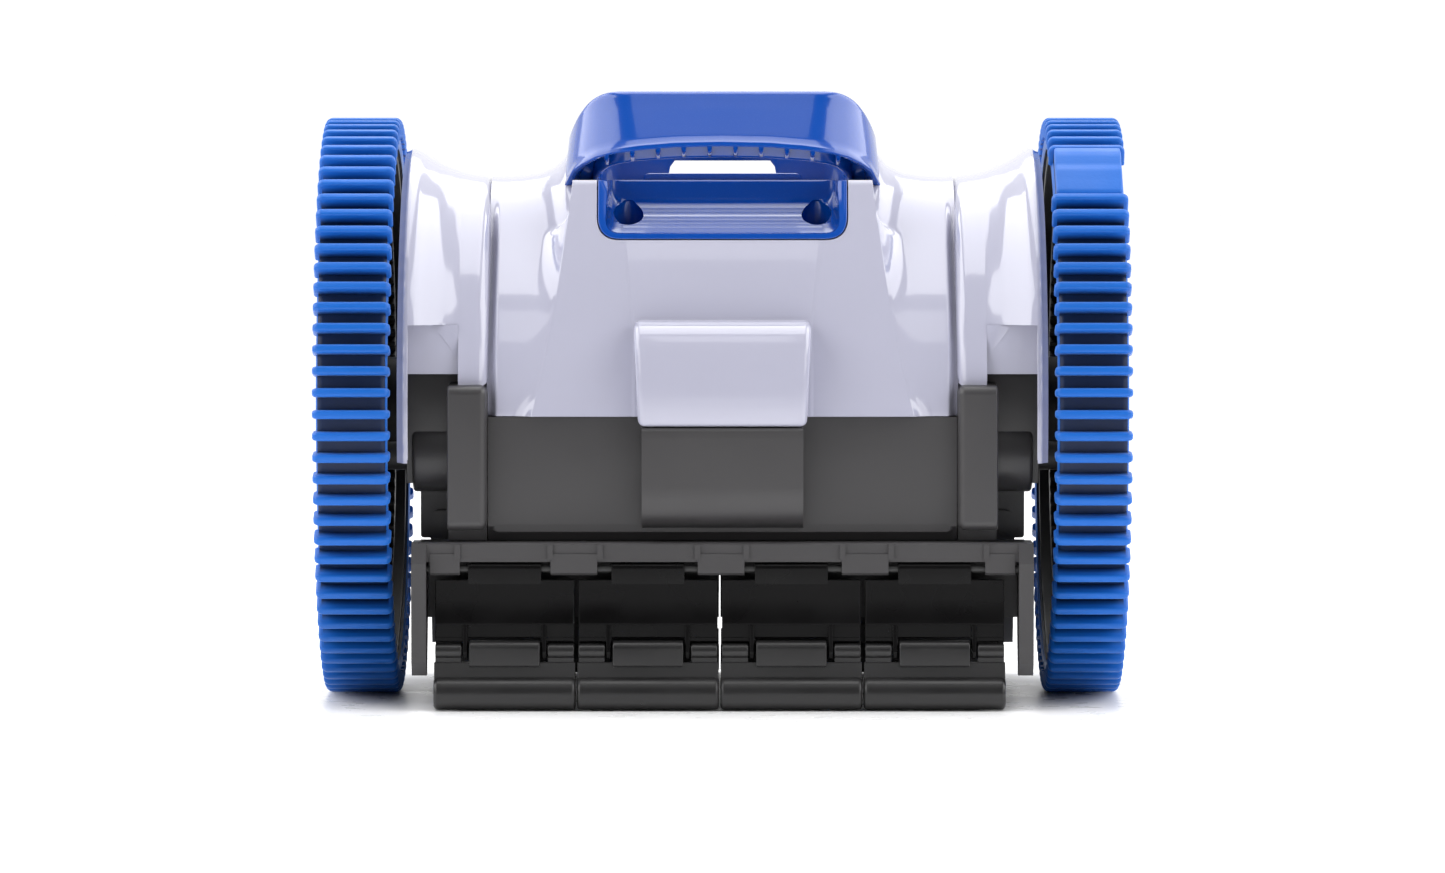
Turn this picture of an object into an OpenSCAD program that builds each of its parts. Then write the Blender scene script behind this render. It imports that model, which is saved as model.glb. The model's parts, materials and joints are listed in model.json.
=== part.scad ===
// Two-wheeled suction pool cleaner: ribbed wheels, white shell, blue carry
// handle, vaned water turbine, side gear cases and hinged flap skirts.
// Millimetres. Floor at z = 0, front faces -Y, axle line along X, +Z up.

/* [Wheels] */
// Outside diameter over the rib tips
wheel_d = 250; // [240:1:260]
// Width of each tyre across its ribs
tyre_w = 32.5; // [28:0.5:38]
// Distance between the inner faces of the two tyres
tyre_gap = 279; // [278:1:288]
// Number of cross ribs round each tyre
rib_count = 84; // [60:4:96]
// Height of a rib above the carcass
rib_h = 6; // [4:0.5:6]
// Thickness of a rib as a part of the rib spacing
rib_share = 0.4; // [0.3:0.01:0.5]
// Distance that rib ends stand proud of the carcass sides
rib_proud = 1.3; // [0.6:0.1:2]
// Extra height of the climbing hump over the ribs
hump_h = 1.8; // [0:0.1:3]
// Position of the right hump, degrees up from the front
hump_right = 56; // [30:1:80]
// Position of the left hump, degrees up from the front
hump_left = 158; // [100:1:200]

/* [Body shell] */
// Radius of the fender rims about the axle line
fender_r = 112; // [109:0.5:114]
// Half width over the fender rims
fender_x = 135.4; // [134:0.1:136]
// Wall thickness of the moulded shells
wall = 3; // [2.4:0.1:3.4]
// Half width of the centre tower at its top
tower_top_x = 64.6; // [62:0.2:66]
// Half width of the centre tower at its foot
tower_foot_x = 81.3; // [76:0.2:84]
// Height of the tower top above the floor
tower_top = 223; // [220:0.5:224]
// Height of the joint between the white cover and the black body
joint_z = 123.5; // [122:0.5:125]
// Underside of the black body
floor_z = 71; // [70:0.5:72]
// Half width of the black body
body_x = 99; // [96:0.5:99.5]

/* [Handle] */
// Top of the carry handle
handle_top = 261; // [255:0.5:264]
// Underside of the front grip
grip_under = 235; // [233:0.5:238]
// Half width of the handle
handle_x = 69; // [67:0.5:72]
// Radius of the upper handle corners
handle_corner = 33; // [20:1:34]

/* [Hose swivel] */
// Bore that takes the hose cuff
hose_bore_d = 38; // [34:0.5:38.5]
// Outside diameter of the swivel tube
swivel_d = 44; // [42:0.5:44.5]
// Top edge of the swivel tube
swivel_top = 224; // [222:0.5:225]

/* [Turbine] */
// Height of the turbine axis
turbine_z = 102; // [101:0.5:103]
// Radius swept by the vane tips
vane_tip_r = 39; // [34:0.5:39.5]
// Bore radius of the water chamber
chamber_r = 41; // [40:0.5:42]
// Turbine shaft diameter
shaft_d = 8; // [6:0.5:9]

/* [Drive gears] */
// Teeth of the ring gear inside each wheel
ring_teeth = 92; // [92:4:92]
// Teeth of the drive pinion that turns the wheel
pinion_teeth = 12; // [12:1:12]
// Teeth of the large gear on the drive shaft
output_teeth = 54; // [54:1:54]
// Teeth of the small gear of the intermediate pair
small_teeth = 20; // [20:1:20]
// Teeth of the large gear of the intermediate pair
large_teeth = 66; // [66:1:66]
// Teeth of the turbine pinion
turbine_teeth = 16; // [16:1:16]

/* [Flap skirts] */
// Spacing of the flap segments
flap_pitch = 60.3; // [58:0.1:61]
// Width of an upper flap plate
flap_w = 58.4; // [50:0.1:59]
// Sideways float of the whole flap row
flap_shift = -1.2; // [-1.5:0.1:1.5]
// Height of the upper hinge line
upper_hinge_z = 59.6; // [59:0.1:60.5]
// Height of the lower hinge line
lower_hinge_z = 25; // [24:0.5:27]
// Radius of the rolled lip at the bottom of each lower flap
lip_r = 7; // [5:0.1:7.2]
// Hinge rod diameter
rod_d = 3; // [2:0.1:3.4]

/* [Hidden] */
$fn = 96;
white = [0.86, 0.86, 0.92];
blue = [0.07, 0.30, 0.66];
black = [0.10, 0.10, 0.11];
grey = [0.35, 0.35, 0.38];
steel = [0.75, 0.76, 0.78];
foam = [0.93, 0.91, 0.80];
axle_z = wheel_d / 2;
wheel_r = wheel_d / 2;
tyre_x0 = tyre_gap / 2;
tyre_x1 = tyre_x0 + tyre_w;
carcass_r = wheel_r - rib_h;
bead_r = fender_r;
hose_r = hose_bore_d / 2;
swivel_r = swivel_d / 2;
shaft_r = shaft_d / 2;
rod_r = rod_d / 2;
run = 0.06;
hinge_y = -110;
pin_y = -111;
lip_y = -112;
segments = [1, 2, 3, 4];
function segment_x(i) = flap_shift + (i - 2.5) * flap_pitch;
tab_x = [-62.5, -0.6, 60];

// Drive shaft centre, one ring radius less one pinion radius from the axle.
drive_r = ring_teeth - pinion_teeth;
drive_dir = 180 + asin(19 / drive_r);
drive_y = drive_r * cos(drive_dir);
drive_z = axle_z + drive_r * sin(drive_dir);
// Intermediate gear centre, found from the two centre distances.
d_turbine = (turbine_teeth + large_teeth) / 2;
d_output = (small_teeth + output_teeth) / 2;
d_span = norm([drive_y, drive_z - turbine_z]);
span_dir = atan2(drive_z - turbine_z, drive_y);
mid_dir = span_dir + acos((d_turbine * d_turbine + d_span * d_span - d_output * d_output)
    / (2 * d_turbine * d_span));
mid_y = d_turbine * cos(mid_dir);
mid_z = turbine_z + d_turbine * sin(mid_dir);
out_dir = atan2(drive_z - mid_z, drive_y - mid_y);

// ---- helpers ----

// Extrudes a (y, z) outline along X.
module along_x(x0, x1) {
    translate([x0, 0, 0]) rotate([90, 0, 90]) linear_extrude(x1 - x0) children();
}

// Extrudes an (x, z) outline along Y.
module along_y(y0, y1) {
    translate([0, y1, 0]) rotate([90, 0, 0]) linear_extrude(y1 - y0) children();
}

// Round bar along X.
module bar_x(y, z, r, x0, x1) {
    translate([x0, y, z]) rotate([0, 90, 0]) cylinder(r = r, h = x1 - x0);
}

// Round bar along Z.
module bar_z(x, y, r, z0, z1) {
    translate([x, y, z0]) cylinder(r = r, h = z1 - z0);
}

// Box given by its two corners.
module block(p, q) {
    translate(p) cube(q - p);
}

// Turns a (radius, x) profile about the line (y, z); angles run from straight
// down through the rear, so 90 is the rear and 270 is the front.
module about_x(y, z, start = 0, angle = 360) {
    translate([0, y, z]) rotate([0, 90, 0]) rotate_extrude(start = start, angle = angle) children();
}

// Four-sided tower block, wider at the foot than at the top.
module tower(top_x, top_y, z1, foot_x, foot_y, z0) {
    polyhedron(
        points = [
            [-foot_x, -foot_y, z0], [foot_x, -foot_y, z0], [foot_x, foot_y, z0], [-foot_x, foot_y, z0],
            [-top_x, -top_y, z1], [top_x, -top_y, z1], [top_x, top_y, z1], [-top_x, top_y, z1]
        ],
        faces = [[0, 1, 2, 3], [4, 7, 6, 5], [0, 4, 5, 1], [1, 5, 6, 2], [2, 6, 7, 3], [3, 7, 4, 0]]
    );
}

// Tooth outline with n lobes: lobe ends at r_out, valleys at r_in. Half angles
// are given as parts of the tooth spacing.
function lobes(n, r_out, r_in, half_out, half_in) = [
    for (i = [0 : n - 1], k = [0 : 3])
        let (
            side = k < 2 ? -1 : 1,
            outer = k == 1 || k == 2,
            r = outer ? r_out : r_in,
            a = 360 / n * (i + side * (outer ? half_out : half_in))
        )
        [r * cos(a), r * sin(a)]
];

// Outline of an outside gear whose first tooth points along dir.
module gear_outline(n, m, dir) {
    r = n * m / 2;
    rotate(dir) polygon(lobes(n, r + 0.75 * m, r - 1.15 * m, 0.10, 0.27));
}

// ---- shell ----

module tower_outside() {
    tower(tower_top_x, 60, tower_top, tower_foot_x, 103, joint_z);
}

// Rounded ridge down each shoulder of the cover, front and rear.
module shoulder_ridge(r) {
    for (s = [-1, 1], f = [-1, 1])
        translate([s * 86, f * 6, axle_z]) rotate([0, 90, 0])
            rotate_extrude(start = f > 0 ? 89.2 : 185, angle = 85.8)
                translate([91, 0]) circle(r = r, $fn = 48);
}

// Low shoulders that rise beside the handle, made smaller by inset for the hollow.
module beside_handle(inset) {
    for (s = [-1, 1]) intersection() {
        translate([s * (handle_x + 0.4 + inset), 0, axle_z + 29]) rotate([0, s * 90, 0])
            cylinder(r1 = 80 - inset, r2 = 68.9 - inset, h = 16.6 - inset);
        block([-body_x, -80, 190], [body_x, 80, 240]);
    }
}

// Slabs that follow the flare of the fenders, front and rear. The slab's middle
// lies lift outside a plane 2.6 mm under the fender surface.
module fender_recess(w, t, h, lift) {
    for (s = [0, 1], f = [0, 1]) mirror([s, 0, 0]) mirror([0, f, 0])
        translate([0, 0, axle_z]) rotate([-14.3, 0, 0]) translate([121.6, -106.8, 0])
            rotate([0, 0, -27.5]) translate([0, 2.6 - lift, 0]) cube([w, t, h], center = true);
}

module top_cover() {
    color(white) difference() {
        union() {
            about_x(0, axle_z, 89.1, 181.8)
                polygon([[95, -body_x], [98, -body_x], [98, body_x], [95, body_x]]);
            for (s = [-1, 1]) {
                about_x(0, axle_z, 97.2, 165.6)
                    polygon([[96, s * 97], [97, s * 105], [100.5, s * 118], [fender_r - wall, s * 130],
                        [fender_r - wall, s * (fender_x - 0.3)], [fender_r, s * (fender_x - 0.3)],
                        [fender_r, s * 131], [103.5, s * 118], [100, s * 105], [99, s * 97]]);
                about_x(0, axle_z, 79.2, 201.6)
                    polygon([[103.5, s * (fender_x - 4.2)], [fender_r - 0.3, s * (fender_x - 4.2)],
                        [fender_r - 0.3, s * fender_x], [103.5, s * fender_x]]);
            }
            shoulder_ridge(9);
            beside_handle(0);
            tower_outside();
            for (f = [0, 1]) mirror([0, f, 0]) along_x(-36, 36)
                polygon([[-80, 163.5], [-98, 162.5], [-106, 159], [-110.5, 152], [-112, 142],
                    [-112, 119.4], [-101.7, 119.4], [-101.7, 130], [-80, 130]]);
            for (x = [-88, 88], y = [-70, 70]) bar_z(x, y, 5, joint_z, 187.5);
            fender_recess(24, 5, 25, -5.2);
        }
        tower(tower_top_x - wall, 60 - wall, tower_top - wall, tower_foot_x - wall, 103 - wall, joint_z - 0.01);
        shoulder_ridge(6);
        beside_handle(wall);
        for (f = [0, 1]) mirror([0, f, 0]) along_x(-33, 33)
            polygon([[-60, 159], [-97, 159], [-103.5, 156], [-107.5, 150], [-109, 141.5], [-109, 122],
                [-102, 122], [-102, 125], [-60, 125]]);
        // Opening for the hand basin.
        block([-53.3, -90, 197.7], [53.3, -32.7, tower_top + 1]);
        bar_z(0, 4, 24.5, 200, tower_top + 1);
        for (x = [-88, 88], y = [-70, 70]) bar_z(x, y, 1.97, joint_z - 1, 138);
        fender_recess(19.8, 10, 21, 2.8);
    }
}

// Front view outline of the handle, down to height z0.
function handle_outline(half_x, top, r, z0) = [
    [-half_x, z0], [half_x, z0],
    for (i = [0 : 12]) [half_x - r + r * cos(i * 7.5), top - r + r * sin(i * 7.5)],
    for (i = [0 : 12]) [r - half_x - r * sin(i * 7.5), top - r + r * cos(i * 7.5)]
];

module carry_handle() {
    color(blue) difference() {
        intersection() {
            along_y(-66, 46) polygon(handle_outline(handle_x, handle_top, handle_corner, 218));
            along_x(-80, 80) polygon([[-60, 218], [-66, 236], [-64, 240], [-55, 257], [-51, 261],
                [-44, 261], [10, 251], [36, 245], [44, 240], [46, 232], [46, 218]]);
        }
        // Hand hole under the grip and ring opening above the hose swivel.
        along_y(-80, 20) polygon([[-56, 217], [-56, 224], [-50, grip_under - 4], [-44, grip_under],
            [44, grip_under], [50, grip_under - 4], [56, 224], [56, 217]]);
        along_y(10, 60) polygon([[-23.7, 217], [-23.7, 229], [-20, 231.3], [20, 231.3], [23.7, 229], [23.7, 217]]);
        translate([0, -7, 217]) linear_extrude(60)
            polygon([[-50, -37], [50, -37], [53, -30], [53, 30], [44, 41], [-44, 41], [-53, 30], [-53, -30]]);
        // The skirt hugs the tower sides.
        block([-tower_top_x - 1, -70, 217], [tower_top_x + 1, 60, tower_top + 0.1]);
        bar_x(0, axle_z, 98.15, -body_x, body_x);
        // Channel under the grip, open downward, with cross ribs left in it.
        for (i = [-4 : 3]) along_x(i * 11 + 1, i * 11 + 10)
            polygon([[-61.5, 234], [-61, 240], [-53.5, 254.5], [-50, 256.5], [-47, 256.5], [-47, 234]]);
    }
}

module handle_basin() {
    color(blue) difference() {
        along_x(-53, 53) polygon([[-62.5, tower_top], [-73.5, 198], [-33, 198], [-33, tower_top]]);
        along_x(-49.8, 49.8) polygon([[-56, 226], [-80, 226], [-80, 201.2], [-72, 201.2], [-56, 209.5],
            [-52, 213], [-50, 218], [-49.6, 226]]);
        // Screw pockets at both ends of the sloping floor.
        for (x = [-40.5, 40.5]) bar_z(x, -55, 5.5, 202.5, 215);
    }
}

module hose_swivel() {
    color(grey) difference() {
        union() {
            bar_z(0, 4, swivel_r, 176.4, swivel_top);
            bar_z(0, 4, 27.2, 176.4, 180.4);
            bar_z(0, 4, 23.4, swivel_top - 4, swivel_top);
        }
        bar_z(0, 4, hose_r, 170, 230);
    }
}

module swivel_retainer() {
    color(black) difference() {
        bar_z(0, 4, 27.97, 180.8, 186);
        bar_z(0, 4, swivel_r + run, 180, 187);
    }
}

module chamber_top() {
    color(black) difference() {
        union() {
            bar_x(0, turbine_z, chamber_r + wall, -48, 48);
            bar_z(0, 4, 23, 120, 174);
            bar_z(0, 4, 31, 172, 188);
            for (x = [-52, 52], y = [-40, 40]) bar_z(x, y, 5, turbine_z + 0.2, turbine_z + 12);
            for (f = [-1, 1]) block([-55, f > 0 ? 36 : -50, turbine_z + 0.2], [55, f > 0 ? 50 : -36, turbine_z + 3.2]);
        }
        bar_x(0, turbine_z, chamber_r, -45, 45);
        bar_z(0, 4, 20, 115, 180);
        bar_z(0, 4, 28, 176, 190);
        bar_x(0, turbine_z, 8, -60, 60);
        for (x = [-52, 52], y = [-40, 40]) bar_z(x, y, 1.55, 90, 130);
        block([-60, -60, 40], [60, 60, turbine_z + 0.2]);
    }
}

module lower_body() {
    side = [[-100, joint_z - 0.3], [-101, 100], [-99.5, 77], [-95, floor_z], [95, floor_z],
        [99.5, 77], [101, 100], [100, joint_z - 0.3]];
    inside = [[-97, joint_z + 1], [-98, 100], [-96.5, 78], [-93.5, floor_z + wall], [93.5, floor_z + wall],
        [96.5, 78], [98, 100], [97, joint_z + 1]];
    color(black) difference() {
        union() {
            difference() {
                union() {
                    along_x(-body_x, body_x) polygon(side);
                    for (f = [0, 1]) mirror([0, f, 0]) along_x(-34, 34)
                        polygon([[-98, 118.9], [-110.6, 118.9], [-111.6, 117.6], [-112, 114], [-112, 94], [-111.5, 89],
                            [-110.1, 84.6], [-107.8, 80.9], [-104.6, 78.2], [-101, 76.6], [-97, 76]]);
                }
                along_x(wall - body_x, body_x - wall) polygon(inside);
                for (f = [0, 1]) mirror([0, f, 0]) along_x(-31, 31)
                    polygon([[-90, 116], [-107.5, 116], [-109, 113], [-109, 92.5], [-107, 85], [-102, 80.5], [-90, 80]]);
            }
            intersection() {
                bar_x(0, turbine_z, chamber_r + wall, -48, 48);
                block([-60, -60, 40], [60, 60, turbine_z - 0.2]);
            }
            for (x = [-88, 88], y = [-70, 70]) bar_z(x, y, 6, floor_z, joint_z - 0.3);
            for (x = [-52, 52], y = [-40, 40]) bar_z(x, y, 5, floor_z + 1, turbine_z - 0.2);
        }
        intersection() {
            bar_x(0, turbine_z, chamber_r, -45, 45);
            block([-60, -60, 40], [60, 60, turbine_z]);
        }
        block([-36, -22, 40], [36, 22, 80]);
        bar_x(0, turbine_z, 8, -60, 60);
        bar_x(0, turbine_z, shaft_r + 2, -120, 120);
        for (x = [-88, 88], y = [-70, 70]) {
            bar_z(x, y, 4, floor_z - 1, 112);
            bar_z(x, y, 2.1, 110, joint_z + 1);
        }
        for (x = [-52, 52], y = [-40, 40]) bar_z(x, y, 1.55, turbine_z - 20, turbine_z + 5);
        for (s = [-1, 1], z = [92, 110]) bar_x(40, z, 2.05, s > 0 ? 90 : -110, s > 0 ? 110 : -90);
        for (x = [-70, 70], y = [-88, 88]) bar_z(x, y, 1.55, 60, 80);
    }
}

module throat_plate() {
    color(black) difference() {
        union() {
            block([-42, -30, 55], [42, 30, 58]);
            for (s = [-1, 1]) block([s > 0 ? 36.8 : -39, -20, 57], [s > 0 ? 39 : -36.8, 20, 60]);
        }
        block([-35.5, -21.5, 50], [35.5, 21.5, 62]);
        bar_x(0, turbine_z, chamber_r + wall + 0.05, -50, 50);
    }
}

module float_block() {
    color(foam) difference() {
        block([-52, 37, 126], [52, 66, 190]);
        along_x(-60, 60) polygon([[50, 195], [70, 195], [70, 175], [66.5, 174]]);
    }
}

// ---- turbine ----

module rotor_hub() {
    color(grey) translate([0, 0, turbine_z]) difference() {
        union() {
            bar_x(0, 0, 11.5, -38, 38);
            bar_x(0, 0, 20, -40, -36);
            bar_x(0, 0, 20, 36, 40);
        }
        bar_x(0, 0, shaft_r + 0.02, -50, 50);
        for (i = [0 : 5]) rotate([60 * i, 0, 0]) bar_x(0, 17, 1.2 + run, -50, 50);
    }
}

module rotor_vane(i) {
    color(blue) translate([0, 0, turbine_z]) rotate([60 * i - 60, 0, 0]) union() {
        bar_x(0, 17, 1.2, -39.5, 39.5);
        bar_x(0, 17, 2.4, -35.6, 35.6);
        along_x(-35.6, 35.6) polygon([[-1, 18], [1, 18], [1.6, 25], [3.4, 33], [6, vane_tip_r - 0.8],
            [4.2, vane_tip_r - 0.6], [1.4, 33], [-0.4, 25]]);
    }
}

module rotor_shaft() {
    color(steel) bar_x(0, turbine_z, shaft_r, -108.5, 108.5);
}

module shaft_bearings() {
    color(steel) for (s = [-1, 1]) difference() {
        bar_x(0, turbine_z, 7.97, s > 0 ? 43 : -50, s > 0 ? 50 : -43);
        bar_x(0, turbine_z, shaft_r + run, -60, 60);
    }
}

module turbine_pinion() {
    color(white) difference() {
        translate([0, 0, turbine_z]) along_x(102.4, 107.4) gear_outline(turbine_teeth, 1, mid_dir);
        bar_x(0, turbine_z, shaft_r + 0.02, 100, 110);
    }
}

module reduction_gear() {
    color(white) difference() {
        union() {
            translate([0, mid_y, mid_z]) along_x(102.4, 106.8)
                gear_outline(large_teeth, 1, mid_dir + 180 + 180 / large_teeth);
            translate([0, mid_y, mid_z]) along_x(105.8, 113.5) gear_outline(small_teeth, 1, out_dir);
        }
        bar_x(mid_y, mid_z, 3 + run, 100, 120);
    }
}

module drive_gear() {
    color(white) union() {
        translate([0, drive_y, drive_z]) along_x(109.3, 113.6)
            gear_outline(output_teeth, 1, out_dir + 180 + 180 / output_teeth);
        bar_x(drive_y, drive_z, 6, 110, 154.3);
        translate([0, drive_y, drive_z]) along_x(147, 153.8) gear_outline(pinion_teeth, 2, drive_dir);
    }
}

// Side outline of the gear case, grown by d.
module case_outline(d) {
    hull() {
        for (z = [79.5, 132.5]) translate([-104.2, z]) circle(r = 4 + d, $fn = 48);
        translate([drive_y, drive_z]) circle(r = 30.5 + d, $fn = 48);
        translate([0, axle_z]) circle(r = 18 + d, $fn = 48);
        translate([0, turbine_z - 6]) circle(r = 18 + d, $fn = 48);
        translate([40, 101]) circle(r = 17 + d, $fn = 48);
    }
}

module case_pocket() {
    hull() {
        translate([drive_y, drive_z]) circle(r = 28.2, $fn = 48);
        translate([mid_y, mid_z]) circle(r = 35, $fn = 48);
        translate([0, turbine_z]) circle(r = 11, $fn = 32);
    }
}

module gear_case() {
    color(black) union() {
        difference() {
            along_x(99.2, 109) case_outline(0);
            along_x(101.6, 110) case_pocket();
            bar_x(0, turbine_z, shaft_r + run, 90, 110);
            bar_x(0, axle_z, 8.02, 103, 110);
            for (z = [92, 110]) bar_x(40, z, 2.05, 90, 120);
        }
        bar_x(mid_y, mid_z, 3, 101, 113.9);
    }
}

module gear_case_cover() {
    color(black) difference() {
        union() {
            along_x(109.05, 116) case_outline(0);
            bar_x(drive_y, drive_z, 15.25, 115, 131.4);
            bar_x(0, axle_z, 14, 115, 122);
            // Splash wall under the fender and stay below the bearing boss.
            about_x(0, axle_z, 250, 28) polygon([[86, 115], [89, 115], [89, 129], [86, 129]]);
            block([115, -72, 72], [128.5, -68, 104]);
            block([115, -74, 74], [123.5, -71, 82.5]);
        }
        along_x(108, 114) case_pocket();
        bar_x(drive_y, drive_z, 6 + run, 110, 140);
        bar_x(0, axle_z, 8.02, 100, 130);
        for (z = [92, 110]) bar_x(40, z, 2.05, 90, 120);
    }
}

// ---- wheels ----

module stub_axle() {
    color(steel) difference() {
        union() {
            bar_x(0, axle_z, 8, 103.2, 168.2);
            bar_x(0, axle_z, 12, 122.05, 125);
        }
        bar_x(0, axle_z, 2.52, 150, 170);
    }
}

module wheel_bushing() {
    color(white) difference() {
        union() {
            bar_x(0, axle_z, 10.97, 140, 167.9);
            bar_x(0, axle_z, 15, 139.2, 140.95);
        }
        bar_x(0, axle_z, 8 + run, 139, 170);
    }
}

module wheel_hub() {
    color(black) difference() {
        translate([0, 0, axle_z]) union() {
            about_x(0, 0) polygon([[11, 141], [21, 141], [21, 155], [108, 155], [108, 142.5],
                [bead_r - 0.1, 142.5], [bead_r - 0.1, 169.6], [108, 169.6], [108, 158.5],
                [17, 158.5], [17, 168], [11, 168]]);
            along_x(146.5, 155.5) difference() {
                circle(r = 99.6);
                rotate(drive_dir) polygon(lobes(ring_teeth, ring_teeth + 2.3, ring_teeth - 1.5, 0.2, 0.37));
            }
        }
        for (i = [0 : 5]) translate([0, 0, axle_z]) rotate([60 * i + 30, 0, 0]) bar_x(0, 58, 17, 150, 162);
    }
}

module tyre(hump) {
    color(blue) translate([0, 0, axle_z]) union() {
        about_x(0, 0) polygon([[bead_r, tyre_x0 + rib_proud], [carcass_r - 2.5, tyre_x0 + rib_proud],
            [carcass_r, tyre_x0 + rib_proud + 2.5], [carcass_r, tyre_x1 - rib_proud - 2.5],
            [carcass_r - 2.5, tyre_x1 - rib_proud], [bead_r, tyre_x1 - rib_proud]]);
        along_x(tyre_x0, tyre_x1) difference() {
            polygon(lobes(rib_count, wheel_r, carcass_r - 0.8, rib_share / 2, rib_share / 2 + 0.02));
            circle(r = carcass_r - 1.4);
        }
        rotate([180 - hump, 0, 0]) along_x(tyre_x0 + 2.5, tyre_x1 - 2.5)
            polygon(concat([for (a = [-8 : 2 : 8]) (wheel_r + hump_h * cos(a * 8)) * [cos(a), sin(a)]],
                [for (a = [8 : -2 : -8]) (carcass_r - 1) * [cos(a), sin(a)]]));
    }
}

module hubcap() {
    color(black) difference() {
        about_x(0, axle_z) polygon([[17.05, 158.55], [24, 158.55], [26, 160], [26, 169], [22, 171.2], [0, 171.8],
            [0, 170.6], [17.05, 170.6]]);
        bar_x(0, axle_z, 14, 160, 170.3);
    }
}

// ---- flap skirts, drawn for the front ----

module flap_carrier() {
    color(black) difference() {
        union() {
            along_x(-128, 128) polygon([[-112, 62.6], [-112, 70], [-111, 70.7], [-84, 70.7], [-84, 66],
                [-106, 66], [-108.5, 62.6]]);
            for (x = tab_x) along_x(x - 9.8, x + 9.8)
                polygon([[-112.6, 58], [-112.6, 66], [-107.4, 66], [-107.4, 58], [-108.8, 57], [-111.2, 57]]);
            for (s = [-1, 1]) {
                along_x(s > 0 ? 110.5 : -123, s > 0 ? 123 : -110.5)
                    polygon([[-112.6, 58], [-112.6, 66], [-107.4, 66], [-107.4, 58], [-108.8, 57], [-111.2, 57]]);
                along_x(s > 0 ? 124.6 : -130.8, s > 0 ? 130.8 : -124.6)
                    polygon([[-116, 20], [-117, 62], [-112, 70.4], [-84, 70.4], [-96, 30], [-102, 14.6], [-110, 14.6]]);
            }
            for (x = [-111.5, -72.5, -51.5, -10.5, 10, 50.5, 71, 111]) block([x - 1.2, -113, 63.6], [x + 1.2, -111, 70]);
        }
        bar_x(hinge_y, upper_hinge_z, rod_r + 0.02, -124.95, 124.95);
        for (x = [-70, 70]) bar_z(x, -88, 1.55, 60, 80);
    }
}

module upper_flap(x) {
    color(black) translate([x, 0, 0]) difference() {
        union() {
            bar_x(hinge_y, upper_hinge_z, 2.7, -15.5, 15.5);
            along_x(-15.5, 15.5) polygon([[-111.5, 50], [-111.9, upper_hinge_z], [-108.1, upper_hinge_z], [-108.5, 50]]);
            along_x(-flap_w / 2, flap_w / 2) polygon([[-112.6, 35.5], [-112.4, 56.2], [-108.8, 56.2], [-108.6, 35.5]]);
            // Set-back wall behind the arms.
            along_x(-flap_w / 2, flap_w / 2) polygon([[-110.4, 28.8], [-110.4, 37], [-108.4, 37], [-108.4, 28.8]]);
            for (s = [-1, 1])
                along_x(s * 16.6 - 1.1, s * 16.6 + 1.1)
                    polygon([[-113, 45], [-108.5, 45], [-108, 24], [-109.5, 21.6], [-112.5, 21.6], [-114, 24]]);
        }
        block([-15.2, -116, 20], [15.2, -100, 30.2]);
        bar_x(hinge_y, upper_hinge_z, rod_r + run, -40, 40);
        bar_x(pin_y, lower_hinge_z, rod_r + run, -40, 40);
    }
}

module lower_flap(x) {
    color(black) translate([x, 0, 0]) union() {
        bar_x(pin_y, lower_hinge_z, rod_r, -20, 20);
        bar_x(pin_y, lower_hinge_z, 4.6, -14.8, 14.8);
        along_x(-14.8, 14.8) polygon([[-114, 18], [-114, 25], [-108, 25], [-108, 18]]);
        for (s = [-1, 1]) {
            bar_x(pin_y, lower_hinge_z, 3.2, s > 0 ? 18.1 : -29.2, s > 0 ? 29.2 : -18.1);
            along_x(s > 0 ? 18.1 : -29.2, s > 0 ? 29.2 : -18.1)
                polygon([[-112.6, 18], [-112.6, 25], [-109.4, 25], [-109.4, 18]]);
        }
        along_x(-29.3, 29.3) polygon([[-114.2, 8], [-113.6, 20.2], [-109, 20.2], [-109, 8]]);
        bar_x(lip_y, lip_r + 0.3, lip_r, -29.5, 29.5);
    }
}

module hinge_rods() {
    color(steel) for (f = [-1, 1]) bar_x(f * -hinge_y, upper_hinge_z, rod_r, -124.6, 124.6);
}

// ---- fasteners ----

module body_screws() {
    color(steel) {
        for (x = [-88, 88], y = [-70, 70]) union() {
            bar_z(x, y, 3.5, 109, 112);
            bar_z(x, y, 1.95, 111, 136);
        }
        for (s = [-1, 1], z = [92, 110]) union() {
            bar_x(40, z, 2, s > 0 ? 96 : -117, s > 0 ? 117 : -96);
            bar_x(40, z, 4, s > 0 ? 116.05 : -118.5, s > 0 ? 118.5 : -116.05);
        }
        for (x = [-70, 70], y = [-88, 88]) union() {
            bar_z(x, y, 1.5, 64.5, 76);
            bar_z(x, y, 3.2, 63.5, 65.95);
        }
        for (x = [-52, 52], y = [-40, 40]) union() {
            bar_z(x, y, 1.5, 84, turbine_z + 14);
            bar_z(x, y, 3.2, turbine_z + 12.05, turbine_z + 14.5);
        }
    }
}

module axle_screws() {
    color(steel) for (s = [0, 1]) mirror([s, 0, 0]) union() {
        bar_x(0, axle_z, 2.5, 152, 169);
        bar_x(0, axle_z, 12, 168.25, 169.2);
        bar_x(0, axle_z, 5, 169, 170.1);
    }
}

// ---- nodes ----

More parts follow.
